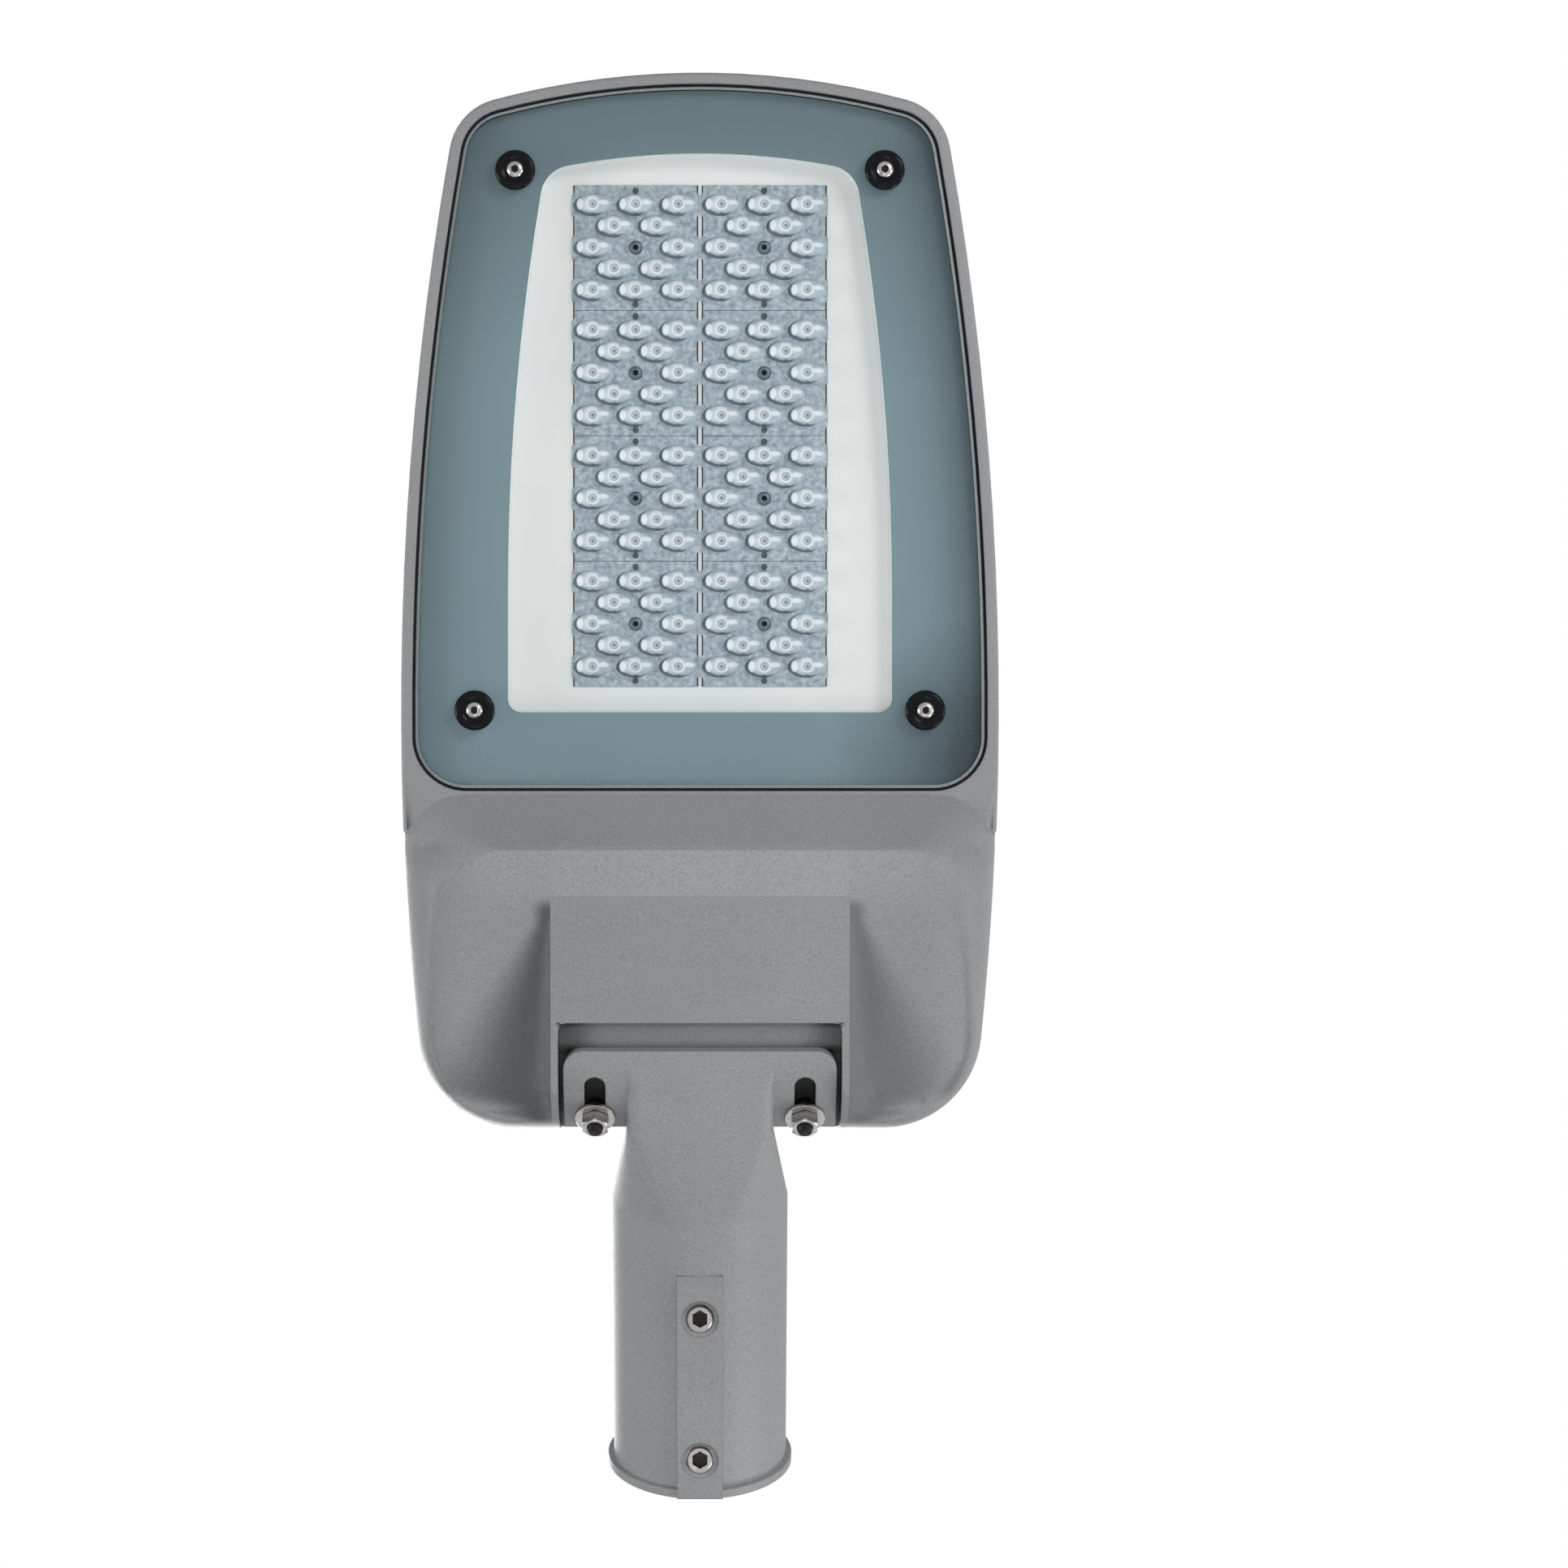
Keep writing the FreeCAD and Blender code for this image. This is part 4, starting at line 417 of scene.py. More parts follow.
def lens_plastic():
    finish = Finish("lens_plastic", LENS_MIDDLE, 0.3, IOR=1.49, Specular_IOR_Level=0.35)
    across, along, on_lens = finish.split(finish.attribute("lens_place", "Vector"))

    def spot(middle, radii, sharp):
        """A spot on the lens, in millimetres: one in its middle, and zero outside its two radii."""
        dx, dy = (across - middle[0]) / radii[0], (along - middle[1]) / radii[1]
        near = 1.0 - (dx * dx + dy * dy)
        return (near.maths("MAXIMUM", 0.0) * sharp).maths("MINIMUM", 1.0)

    def less(first, second):
        return (first - second).maths("MAXIMUM", 0.0)

    def ring(outer, inner):
        return less(*[spot((0.0, 0.0), (radius, radius), 3.0) for radius in (outer, inner)])

    mottle = finish.noise(420, 3, 0.65)
    plate = finish.ramp(mottle, *[(place, srgb(*tone)) for place, tone in PLATE_TONES.items()])
    body = finish.mottled(mottle, srgb(168, 183, 191), srgb(192, 205, 211), 0.15)

    # painted shade: the dark crescent at the lens's left end and a dark spot below it
    crescent = less(*[spot(*part) for part in LENS_WALL_SHADE])
    tone = finish.mix(crescent.maths("MAXIMUM", spot(*LENS_SHADE_BELOW)), body, LENS_DARK)

    # painted highlights: the bright lobes and the bright ring; then a ring of painted shade and the dark LED in it
    light = ring(2.9, 1.9) * 0.8
    for middle, radii, sharp, strength in LENS_LIGHTS:
        light = light.maths("MAXIMUM", spot(middle, radii, sharp) * strength)
    tone = finish.mix(light, tone, LENS_BRIGHT)
    for dark in (ring(1.9, 1.3) * 0.55, spot(*LENS_EYE) * 0.7):
        tone = finish.mix(dark, tone, LENS_DARK)

    flat = finish.mix(finish.attribute("peg"), plate, PEG_DARK)
    finish.set(Base_Color=finish.mix(on_lens, flat, tone))
    finish.bump(mottle, 0.12, 0.1)
    return finish.material


# %% Make the finishes and give them to the solids
FINISHES = {
    "grey_casting": powder_coat(),
    "clear_glass": clear_glass(),
    "slate_print": slate_enamel(),
    "white_tray": white_sheet(),
    "black_plastic": black_nylon(),
    "black_rubber": plain("black_rubber", Specular_IOR_Level=0.2).material,
    "stainless": steel("stainless_steel", srgb(158, 155, 153), srgb(204, 200, 197), 0.24),
    "black_steel": plain("black_steel", metallic=0.3, Specular_IOR_Level=0.3).material,
    "led_board": plain("board_mask").material,
    "driver_case": moulded("driver_case", srgb(52, 54, 56), 0.55),
    "white_plastic": moulded("white_plastic", srgb(222, 222, 216), 0.45),
    "clear_lens": lens_plastic(),
}
GROUND_EDGE = plain("ground_glass_edge", IOR=1.5).material
LENS_SCREW_ZINC = steel("zinc_plate", srgb(96, 110, 119), srgb(134, 147, 155), 0.5, 0.2)
SLOT_OF = {part["node"]: part["material_slot"] for part in record["subparts"]}
for name, node in NODES.items():
    node.data.materials.clear()
    node.data.materials.append(FINISHES[SLOT_OF[name]])
print("finishes:", len(bpy.data.materials))


# %% [markdown]
# ## From work to a piece
#
# Most pieces are shaped as loose points and faces first. These helpers join two rings of points, shade the work
# smooth except at sharp edges, keep it as a mesh, and let the piece stand for its solids.

# %% Helpers for pieces
def band(work, low, high, kind=0):
    """Faces between two rings of points."""
    for number in range(len(low)):
        after = (number + 1) % len(low)
        face = work.faces.new((low[number], low[after], high[after], high[number]))
        face.material_index = kind


def soften(work, crease, soft=()):
    """Shade the work smooth but for edges past the crease angle. An edge between soft points is smooth too."""
    for face in work.faces:
        face.smooth = True
    for edge in work.edges:
        rounded = edge.calc_face_angle(0.0) < math.radians(crease) or all(vert in soft for vert in edge.verts)
        edge.smooth = len(edge.link_faces) == 2 and rounded


def to_mesh(work, name):
    mesh = bpy.data.meshes.new(name)
    work.to_mesh(mesh)
    work.free()
    return mesh


def stand_in(piece, nodes, body):
    """Let a finished piece stand for its solids, and move with their body."""
    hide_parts(*nodes)
    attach(piece, body)
    print(piece.name, "faces:", len(piece.data.polygons), "for", len(nodes), "solids")


# %% [markdown]
# ## The housing, cast and not milled
#
# The solid housing has the right size, but beside its saddle block the shoulders meet a flat wall with a hard
# edge. On the casting they fall away in a soft hollow, and the belly has no crease at its sides. So a copy of the
# housing is given a finer net of points below. The height that each should have is worked out on a square grid,
# the grid is averaged until no crease is left, and the points are moved onto it. The top, the edges and all the
# seats stay as they are. Where a fade starts and ends is given in millimetres from the part's origin.

# %% The hollow beside the block
BLOCK_SIDE = 58.5 * MM
BLOCK_INSIDE = 58.0 * MM
BLOCK_FRONT = 236.5 * MM
SHOULDER_SIDE = 88.0 * MM
RECESS_FRONT = 186.7 * MM
RECESS_SIDE = 55.6 * MM
BELLY_FRONT = 252.0 * MM
BELLY_ROOF = -45 * MM
HOLLOW_REAR = 145 * MM
HOLLOW_RISE = 1.2
HOLLOW_REACH = 2.6
HOLLOW_SHORTEST, HOLLOW_LONGEST = 4.0 * MM, 29.0 * MM
HOLLOW_CURVE = 2.2
FAR_OFF = 9.0
LEVEL_REAR = 156 * MM
RAY_START = -0.3
HOUSING = NODES["housing"].data
HOUSING_TREE = BVHTree.FromPolygons(
    [vert.co[:] for vert in HOUSING.vertices], [face.vertices[:] for face in HOUSING.polygons]
)


def clamp(value, low=0.0, high=1.0):
    return min(high, max(low, value))


def rise(value, start, end):
    """Zero at the start, one at the end, and straight between."""
    return clamp((value - start) / (end - start))


def soft_rise(value, start, end):
    part = rise(value, start, end)
    return part * part * (3.0 - 2.0 * part)


def underside(x, y):
    """The lowest height of the solid housing at a place, measured a hair beside the seams of its net."""
    heights = []
    for beside in (0.011 * MM, -0.017 * MM):
        start = Vector((x + beside, y + 0.6 * beside, RAY_START))
        hit = HOUSING_TREE.ray_cast(start, Vector((0, 0, 1)))[0]
        if hit:
            heights.append(hit.z)
    return min(heights, default=None)


def hollow(x, y):
    """The height in the hollow, and the way out from the block in lengths of the hollow."""
    block, shoulder = underside(BLOCK_INSIDE, y), underside(SHOULDER_SIDE, y)
    missing = block is None or shoulder is None or shoulder < block + 0.1 * MM
    if missing or not HOLLOW_REAR + 0.1 * MM < y < BLOCK_FRONT:
        return None, FAR_OFF
    deep = min(shoulder - block, HOLLOW_RISE * (y - HOLLOW_REAR))
    way = (abs(x) - BLOCK_SIDE) / clamp(HOLLOW_REACH * deep, HOLLOW_SHORTEST, HOLLOW_LONGEST)
    if abs(x) >= SHOULDER_SIDE:
        return None, way
    return block + deep - deep * clamp(1.0 - way) ** HOLLOW_CURVE, way


# %% A finer net below
NET_PASSES = 7


def is_lowest(spot):
    height = underside(spot.x, spot.y)
    return height is not None and abs(height - spot.z) < 0.08 * MM


def is_open(face):
    """Whether a face looks down with nothing in front of it."""
    spot = face.calc_center_median()
    return face.normal.z <= -0.05 and HEAD_REAR < spot.y < BELLY_FRONT + 4 * MM and is_lowest(spot)


def finer_net(work, longest):
    """Cut the open faces at both sides of the block, then halve their edges until none is too long."""
    def open_edges(faces):
        return {edge for face in faces for edge in face.edges}

    for side in (-BLOCK_SIDE, BLOCK_SIDE):
        faces = [face for face in work.faces if is_open(face)]
        geometry = [*{vert for face in faces for vert in face.verts}, *open_edges(faces), *faces]
        bmesh.ops.bisect_plane(work, geom=geometry, plane_co=(side, 0, 0), plane_no=(1, 0, 0), dist=0.001 * MM)
    for _ in range(NET_PASSES):
        bmesh.ops.triangulate(work, faces=work.faces)
        edges = open_edges(face for face in work.faces if is_open(face))
        edges = [edge for edge in edges if edge.calc_length() > longest]
        if not edges:
            break
        bmesh.ops.subdivide_edges(work, edges=edges, cuts=1)
    bmesh.ops.triangulate(work, faces=work.faces)


# %% The heights that are wanted, on a grid
GRID_SIDE = BLOCK_SIDE + 0.5 * MM
GRID_REAR = 143 * MM
GRID_STEP = 2 * MM
GRID_COLUMNS = 31
GRID_ROWS = 57
GRID_PASSES = 45
HOLLOW_FADE = (145, 154)
LEVEL_FADE = (5, 0)


def levelness(x, y):
    """One where the belly is level below, and zero where it turns up to its side."""
    plain_height, level = underside(x, y), underside(SHOULDER_SIDE, max(y, LEVEL_REAR))
    if plain_height is None or level is None:
        return 0.0
    return rise((plain_height - level) / MM, *LEVEL_FADE)


def wanted(x, y):
    """The height of the belly with the hollow in it, outside the block."""
    plain_height, height = underside(x, y), hollow(x, y)[0]
    if plain_height is None or height is None:
        return plain_height
    return plain_height + (height - plain_height) * soft_rise(y / MM, *HOLLOW_FADE) * levelness(x, y)


def soft_heights():
    """The wanted heights on a square grid beside the block, averaged again and again until no crease is left."""
    spots = [(column, row) for column in range(GRID_COLUMNS) for row in range(GRID_ROWS)]
    place = {(a, b): (GRID_SIDE + a * GRID_STEP, GRID_REAR + b * GRID_STEP) for a, b in spots}
    grid = {spot: wanted(*place[spot]) for spot in spots}
    near = {(a, b): [(a, b), (a - 1, b), (a + 1, b), (a, b - 1), (a, b + 1)] for a, b in spots}
    loose = [
        spot for spot in spots
        if levelness(*place[spot]) > 0 and all(grid.get(other) is not None for other in near[spot][2:])
    ]
    for _ in range(GRID_PASSES):
        known = {spot: [grid[other] for other in near[spot] if grid.get(other) is not None] for spot in loose}
        grid.update({spot: sum(heights) / len(heights) for spot, heights in known.items()})
    return grid


def read_grid(grid, x, y):
    """The height between four points of the grid, or None where one of them is missing."""
    across, along = (abs(x) - GRID_SIDE) / GRID_STEP, (y - GRID_REAR) / GRID_STEP
    a, b = int(across), int(along)
    corners = [grid.get(spot) for spot in ((a, b), (a + 1, b), (a, b + 1), (a + 1, b + 1))]
    if across < 0 or None in corners:
        return None
    first = corners[0] + (corners[1] - corners[0]) * (across - a)
    second = corners[2] + (corners[3] - corners[2]) * (across - a)
    return first + (second - first) * (along - b)


# %% Move the net, and paint shade and light on the coat
# where each fade starts and where it ends, in millimetres
BELLY_SIDE, BELLY_NOSE, BELLY_REAR = (60, 69), (246, 236), (146, 154)
# the next ones place painted shade on the recess, the hollow and the sides, and painted light on the belly
RECESS_WALL, RECESS_BACK, RECESS_END = (183.5, 186.5), (179, 176), (38, 53)
PAINTED_LIGHT_ALONG, PAINTED_LIGHT_ACROSS = (226, 246), (104, 74)
SCOOP_FRONT, OUTER_SIDE = (236.5, 231.5), (96, 112)
SCOOP_WAY = (2.1, 0.525)
FLANGE_END = 174


def shape_belly(work):
    """Move the points of the belly, and tell how far each smoothed one followed the grid."""
    grid = soft_heights()
    smoothed = {}
    belly = [
        vert for vert in work.verts
        if abs(vert.co.x) > BLOCK_SIDE + 0.01 * MM and vert.co.z < BELLY_ROOF and is_lowest(vert.co)
    ]
    for vert in belly:
        x, y = vert.co.x, vert.co.y
        share = rise(abs(x) / MM, *BELLY_SIDE) * rise(y / MM, *BELLY_NOSE) * rise(y / MM, *BELLY_REAR)
        share *= levelness(x, y)
        soft = read_grid(grid, x, y)
        if hollow(x, y)[0] is not None:
            vert.co.z = wanted(x, y)
        if soft is not None and share > 0:
            smoothed[vert] = share
            vert.co.z += (soft - vert.co.z) * share
    print("belly points:", len(belly), "smoothed:", len(smoothed))
    return smoothed


def recess_painted_shade(across, along):
    """Painted shade: dark under the front wall and at the ends of the recess, and darkest under the flange."""
    if along < FLANGE_END:
        return 0.9
    walls = 0.3 * soft_rise(along, *RECESS_WALL) + 0.25 * soft_rise(along, *RECESS_BACK)
    return 0.2 + walls + 0.5 * soft_rise(across, *RECESS_END)


def painted_shade_and_light_at(face, vert):
    """How much painted shade darkens the coat at a corner of a face. Below zero it is painted light, which lightens
    it.
    """
    x, y = vert.co.x, vert.co.y
    across, along = abs(x) / MM, y / MM
    centre = face.calc_center_median()
    if abs(centre.x) < RECESS_SIDE + 0.05 * MM and centre.y < RECESS_FRONT + 0.05 * MM:
        # painted shade in the recess and on its walls
        return recess_painted_shade(across, along) if face.normal.z < -0.2 else 0.8
    if face.normal.z > -0.2 or y > BELLY_FRONT + 4 * MM:
        return 0.0
    if abs(centre.x) < BLOCK_SIDE:
        # painted shade on the block's face, painted light on the belly before it
        return -0.1 if y > BLOCK_FRONT else 0.06
    # beside the block: painted light on the belly, painted shade in the hollow and towards the outer side, more on
    # the +X side
    side = 1.0 if x > 0 else 0.0
    belly = 0.06 - 0.13 * soft_rise(along, *PAINTED_LIGHT_ALONG) * soft_rise(across, *PAINTED_LIGHT_ACROSS)
    scoop = (0.44 + 0.2 * side) * soft_rise(hollow(x, y)[1], *SCOOP_WAY) * soft_rise(along, *SCOOP_FRONT)
    outside = (0.1 + 0.1 * side) * rise(across, *OUTER_SIDE)
    return (belly + scoop + outside) * soft_rise(-vert.normal.z, 0.15, 0.75)


# %% Build the housing's piece
NET_EDGE = 3.6 * MM
CASTING_CREASE = 26
SOFT_SHARE = 0.1


def make_housing():
    work = bmesh.new()
    work.from_mesh(HOUSING)
    bmesh.ops.remove_doubles(work, verts=work.verts, dist=0.02 * MM)
    finer_net(work, NET_EDGE)
    smoothed = shape_belly(work)
    work.normal_update()
    # painted shade and painted light on each corner of every face
    layer = work.loops.layers.float.new("painted_shade_and_light")
    for face in work.faces:
        for loop in face.loops:
            loop[layer] = painted_shade_and_light_at(face, loop.vert)
    soften(work, CASTING_CREASE, {vert for vert, share in smoothed.items() if share > SOFT_SHARE})
    mesh = to_mesh(work, "housing_casting")
    mesh.validate()
    mesh.materials.append(FINISHES["grey_casting"])
    stand_in(placed("housing_casting", mesh), ["housing"], "head")


make_housing()


# %% [markdown]
# ## Geometry Nodes in a script
#
# A tree of Geometry Nodes is run on a mesh that serves as its pattern, read back as plain mesh data, and the
# modifier is thrown away. Its sizes are named inputs, set for every run.

# %% A short way to build and run a tree
class Tree(Wiring):
    """A Geometry Nodes tree with a pattern mesh and named sizes."""

    def __init__(self, name, **sizes):
        super().__init__(bpy.data.node_groups.new(name, "GeometryNodeTree"))
        face = self.tree.interface
        face.new_socket("Geometry", in_out="OUTPUT", socket_type="NodeSocketGeometry")
        face.new_socket("Pattern", in_out="INPUT", socket_type="NodeSocketGeometry")
        self.names = {}
        for label, value in sizes.items():
            label = label.replace("_", " ").capitalize()
            kind = "NodeSocketVector" if isinstance(value, tuple) else "NodeSocketFloat"
            socket = face.new_socket(label, in_out="INPUT", socket_type=kind)
            socket.default_value = value
            self.names[label] = socket.identifier
        self.inputs = self.tree.nodes.new("NodeGroupInput").outputs
        self.output = self.tree.nodes.new("NodeGroupOutput").inputs[0]
        self.pattern = self.size("Pattern")

    def size(self, label):
        return Value(self, self.inputs[label])

    def vector(self, x, y, z):
        return self.out("ShaderNodeCombineXYZ", {"X": x, "Y": y, "Z": z})

    def moved(self, geometry, by):
        return self.out("GeometryNodeTransform", {"Geometry": geometry, "Translation": by})

    def copied(self, points, instance):
        return self.out("GeometryNodeInstanceOnPoints", {"Points": points, "Instance": instance})

    def stored(self, geometry, name, value, kind):
        """The geometry with an attribute on its points."""
        inputs = {"Geometry": geometry, "Name": name, "Value": value}
        return self.out("GeometryNodeStoreNamedAttribute", inputs, data_type=kind, domain="POINT")

    def grid(self, size_x, size_y, columns, rows):
        inputs = {"Size X": size_x, "Size Y": size_y, "Vertices X": columns, "Vertices Y": rows}
        return self.out("GeometryNodeMeshGrid", inputs, "Mesh")

    def joined(self, *parts):
        made = self.node("GeometryNodeJoinGeometry")
        for part in parts:
            self.feed(made.inputs[0], part)
        return Value(self, made.outputs[0])

    def finish(self, geometry, material):
        solid = self.out("GeometryNodeRealizeInstances", {"Geometry": geometry})
        self.feed(self.output, self.out("GeometryNodeSetMaterial", {"Geometry": solid, "Material": material}))
        return self

    def run(self, name, pattern, **sizes):
        """Run the tree with these sizes and keep the result as a plain mesh object."""
        carrier = placed(name + "_carrier", pattern)
        modifier = carrier.modifiers.new("tree", "NODES")
        modifier.node_group = self.tree
        for label, value in sizes.items():
            modifier[self.names[label.replace("_", " ").capitalize()]] = value
        graph = bpy.context.evaluated_depsgraph_get()
        mesh = bpy.data.meshes.new_from_object(carrier.evaluated_get(graph), depsgraph=graph)
        carrier.modifiers.clear()
        bpy.data.objects.remove(carrier)
        mesh.name = name
        return placed(name, mesh)


# %% [markdown]
# ## Turned parts
#
# Screws, nuts and washers are rings of points round an axis, joined by quads. A ring's radius may change with the
# angle, which gives the flats of a hexagon and, where it also turns with the height, the ridge of a thread.

# %% A lathe
# how much painted shade darkens the inside of a screw's socket
SOCKET_PAINTED_SHADE = 0.94
SOCKET_DEPTH = 3 * MM
HEAD_DOWN = Matrix.Rotation(math.pi, 4, "X")


def lathe(rings, count=48, hollow=False):
    """A skin through rings round the upright axis. Each is a radius, or a function of the angle, and a height."""
    work = bmesh.new()
    angles = [math.tau * step / count for step in range(count)]
    loops = []
    for radius, height in rings:
        reaches = [(radius(angle) if callable(radius) else radius, angle) for angle in angles]
        loops.append([work.verts.new((r * math.cos(angle), r * math.sin(angle), height)) for r, angle in reaches])
    if not hollow:
        work.faces.new(list(reversed(loops[0])))
        work.faces.new(loops[-1])
    for low, high in zip(loops, loops[1:] + loops[:1] if hollow else loops[1:]):
        band(work, low, high)
    return work


def mesh_of(work, name, turn=None, crease=32.0, socket=0.0):
    """Turn the work into a mesh that is smooth except at its sharp edges, with painted shade within its socket's
    radius.
    """
    # painted shade inside the socket
    layer = work.verts.layers.float.new("painted_shade_and_light")
    top = max(vert.co.z for vert in work.verts)
    for vert in work.verts:
        sunk = 0.02 * MM < top - vert.co.z < SOCKET_DEPTH
        vert[layer] = SOCKET_PAINTED_SHADE if sunk and vert.co.xy.length < socket else 0.0
    if turn:
        bmesh.ops.transform(work, matrix=turn, verts=work.verts)
    bmesh.ops.recalc_face_normals(work, faces=work.faces)
    soften(work, crease)
    return to_mesh(work, name)


def six_sided(flats):
    """The radius of a hexagon at an angle."""
    def reach(angle):
        return flats / 2 / math.cos((angle + math.pi / 6) % (math.pi / 3) - math.pi / 6)

    return reach


def within(first, second):
    """The smaller of two radii at each angle, as where a cone meets a hexagon."""
    return lambda angle: min(first(angle), second)


def in_mm(profile):
    return [(radius * MM, height * MM) for radius, height in profile]


# %% [markdown]
# ## Pairs of fasteners
#
# Nearly all fasteners come in pairs, left and right of the lamp's middle. One tree serves them all: it sets a
# copy of its pattern at each side for every row that it is given.

# %% The tree of mirrored pairs
def middle(node):
    low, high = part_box(node)
    return (low + high) / 2


def numbered(name, count):
    return [f"{name}_{number}" for number in range(1, count + 1)]


def pairs_tree(name, rows, material):
    tree = Tree(name, height=0.0, **{f"{row}_{way}": 0.0 for row in rows for way in ("across", "along")})
    copies = []
    for row in rows:
        across, along = (tree.size(f"{row.capitalize()} {way}") for way in ("across", "along"))
        places = [tree.vector(across * side, along, tree.size("Height")) for side in (-1.0, 1.0)]
        copies += [tree.moved(tree.pattern, place) for place in places]
    return tree.finish(tree.joined(*copies), material)


def set_in_pairs(name, pattern, slot, height, rows, nodes):
    """rows gives each row's name and the solid on its positive side; nodes are all that the piece stands for."""
    sizes = {}
    for row, node in rows.items():
        sizes[f"{row}_across"] = middle(node).x
        sizes[f"{row}_along"] = middle(node).y
    tree = pairs_tree(name + "_tree", list(rows), FINISHES[slot])
    stand_in(tree.run(name, pattern, height=height, **sizes), nodes, "head")


# %% [markdown]
# ## The fixings of the glass
#
# Four black washers with a rounded rim hold the glass, each with a button-head screw in its dish. Both hang head
# down from the outer face of the glass.

# %% Washers and screws of the glass
WASHER_PROFILE = [
    (2.6, 0.05), (2.6, 0.9), (4.1, 0.9), (4.5, 1.0), (4.9, 1.3), (5.4, 1.5), (6.0, 1.58), (6.6, 1.52),
    (7.2, 1.3), (7.65, 0.95), (7.92, 0.5), (8.0, 0.05),
]
BUTTON_RISE = [(1.0, 0.0), (1.0, 0.2), (0.96, 0.42), (0.88, 0.62), (0.76, 0.8), (0.62, 0.93), (0.52, 0.98)]
FIXING_ROWS = {"front": "glass_washer_2", "rear": "glass_washer_4"}
GLASS_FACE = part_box("glass_cover")[0].z
SCREW_SEAT = GLASS_FACE - 0.96 * MM


def shank_rings(shank, length):
    return [(0.2 * shank, -length), (shank * 0.8, -length), (shank, -length + 0.3 * shank), (shank, 0.0)]


def socket_rings(flats, high, bevel, floor, point):
    """A hexagon socket: its bevel, its floor and its middle, as parts of the head's height."""
    outer, hexagon = six_sided(flats * 1.12), six_sided(flats)
    return [(outer, high), (hexagon, high * bevel), (hexagon, high * floor), (flats * 0.1, high * point)]


def button_screw(head, high, flats, shank, length):
    """A button-head screw: its seat is at height zero, its head above and its shank below."""
    rings = shank_rings(shank, length) + [(head * part, high * level) for part, level in BUTTON_RISE]
    return lathe(rings + socket_rings(flats, high, 0.94, 0.35, 0.28))


washer = mesh_of(lathe(in_mm(WASHER_PROFILE), 64, hollow=True), "washer", HEAD_DOWN, 50.0)
set_in_pairs("glass_washers", washer, "black_plastic", GLASS_FACE, FIXING_ROWS, numbered("glass_washer", 4))
screw = button_screw(head=3.5 * MM, high=1.95 * MM, flats=2.7 * MM, shank=2.45 * MM, length=15.0 * MM)
screw = mesh_of(screw, "glass_screw", HEAD_DOWN, socket=1.65 * MM)
set_in_pairs("glass_screws", screw, "stainless", SCREW_SEAT, FIXING_ROWS, numbered("glass_screw", 4))


# %% [markdown]
# ## The saddle's studs, washers and nuts
#
# A threaded stud comes through each slot of the flange. The thread is real: the radius of every ring follows a
# ridge that climbs one pitch in a turn. Everything stands square to the flange, so the pattern is turned before
# it is copied.

# %% Studs and nuts
PIVOT = Vector(frame["joints"][0]["pos_m"])
STUD_ANGLE = math.radians(44.0)
STUD_AXIS = Vector((0, -math.sin(STUD_ANGLE), -math.cos(STUD_ANGLE)))
STUD_TURN = Matrix.Rotation(math.pi - STUD_ANGLE, 4, "X")
FLANGE_RADIUS = 60.3 * MM
STUD_START, STUD_END = 47.05 * MM, 68.55 * MM
FLAT_WASHER = [
    (3.2, 0.15), (3.35, 0.0), (7.75, 0.0), (8.0, 0.25), (8.0, 1.3), (7.8, 1.5), (7.4, 1.58), (3.5, 1.58), (3.2, 1.4)
]
WASHER_THICK = 1.6 * MM
NUT_BEVEL = (0.02, 0.05, 0.08, 0.12)


def threaded(radius, pitch, depth, low, high, plain_end):
    """A threaded rod from low to high, with a bevelled tip. Below its plain end it has no thread."""
    steps = round((high - low) / (pitch / 6))

    def ridge(level):
        def reach(angle):
            phase = ((level - low) / pitch - angle / math.tau) % 1.0
            wave = 1.0 - abs(2.0 * phase - 1.0)
            tip = clamp((high - level) / (pitch * 0.8))
            fall = depth * (1.0 - wave) if level > plain_end else 0.0
            return radius - max(fall, depth * (1.0 - tip))

        return reach

    levels = [low + (high - low) * step / steps for step in range(steps + 1)]
    return [(ridge(level), level) for level in levels]


def hex_nut(flats, hole, high):
    """A nut whose corners are cut back by a cone at both ends."""
    cut = flats * 0.48
    cone = [(within(six_sided(flats), cut + part * high * 1.7), part) for part in NUT_BEVEL]
    rings = [(hole, 0.04 * high), (hole * 1.12, 0.0), (cut, 0.0)]
    rings += [(reach, part * high) for reach, part in cone]
    rings += [(reach, (1 - part) * high) for reach, part in reversed(cone)]
    rings += [(cut, high), (hole * 1.12, high), (hole, 0.96 * high)]
    return lathe(rings, 48, hollow=True)


def saddle_piece(kind, work, reach, slot, crease=32.0):
    """A pair that stands square to the flange, at a reach from the pivot along the studs."""
    nodes = [f"tilt_{kind}_left", f"tilt_{kind}_right"]
    place = middle(nodes[1])
    turn = Matrix.Translation(PIVOT + STUD_AXIS * reach - Vector((0, place.y, place.z))) @ STUD_TURN
    name = f"tilt_{kind}s"
    set_in_pairs(name, mesh_of(work, name, turn, crease), slot, place.z, {"saddle": nodes[1]}, nodes)


thread = {"radius": 3.0 * MM, "pitch": 1.0 * MM, "depth": 0.5 * MM, "plain_end": STUD_START + 8 * MM}
studs = lathe(threaded(low=STUD_START, high=STUD_END, **thread), 36)
saddle_piece("stud", studs, 0.0, "black_steel", 60.0)
saddle_piece("washer", lathe(in_mm(FLAT_WASHER), 64, hollow=True), FLANGE_RADIUS, "stainless")
nut = hex_nut(flats=10.0 * MM, hole=3.02 * MM, high=4.95 * MM)
saddle_piece("nut", nut, FLANGE_RADIUS + WASHER_THICK, "stainless")


# %% [markdown]
# ## Set screws of the pole socket
#
# Two socket set screws clamp the pole. They stand upright in the sloping strip, so each sits in a seat that is
# deep on one side. A tree repeats the first one along the strip.

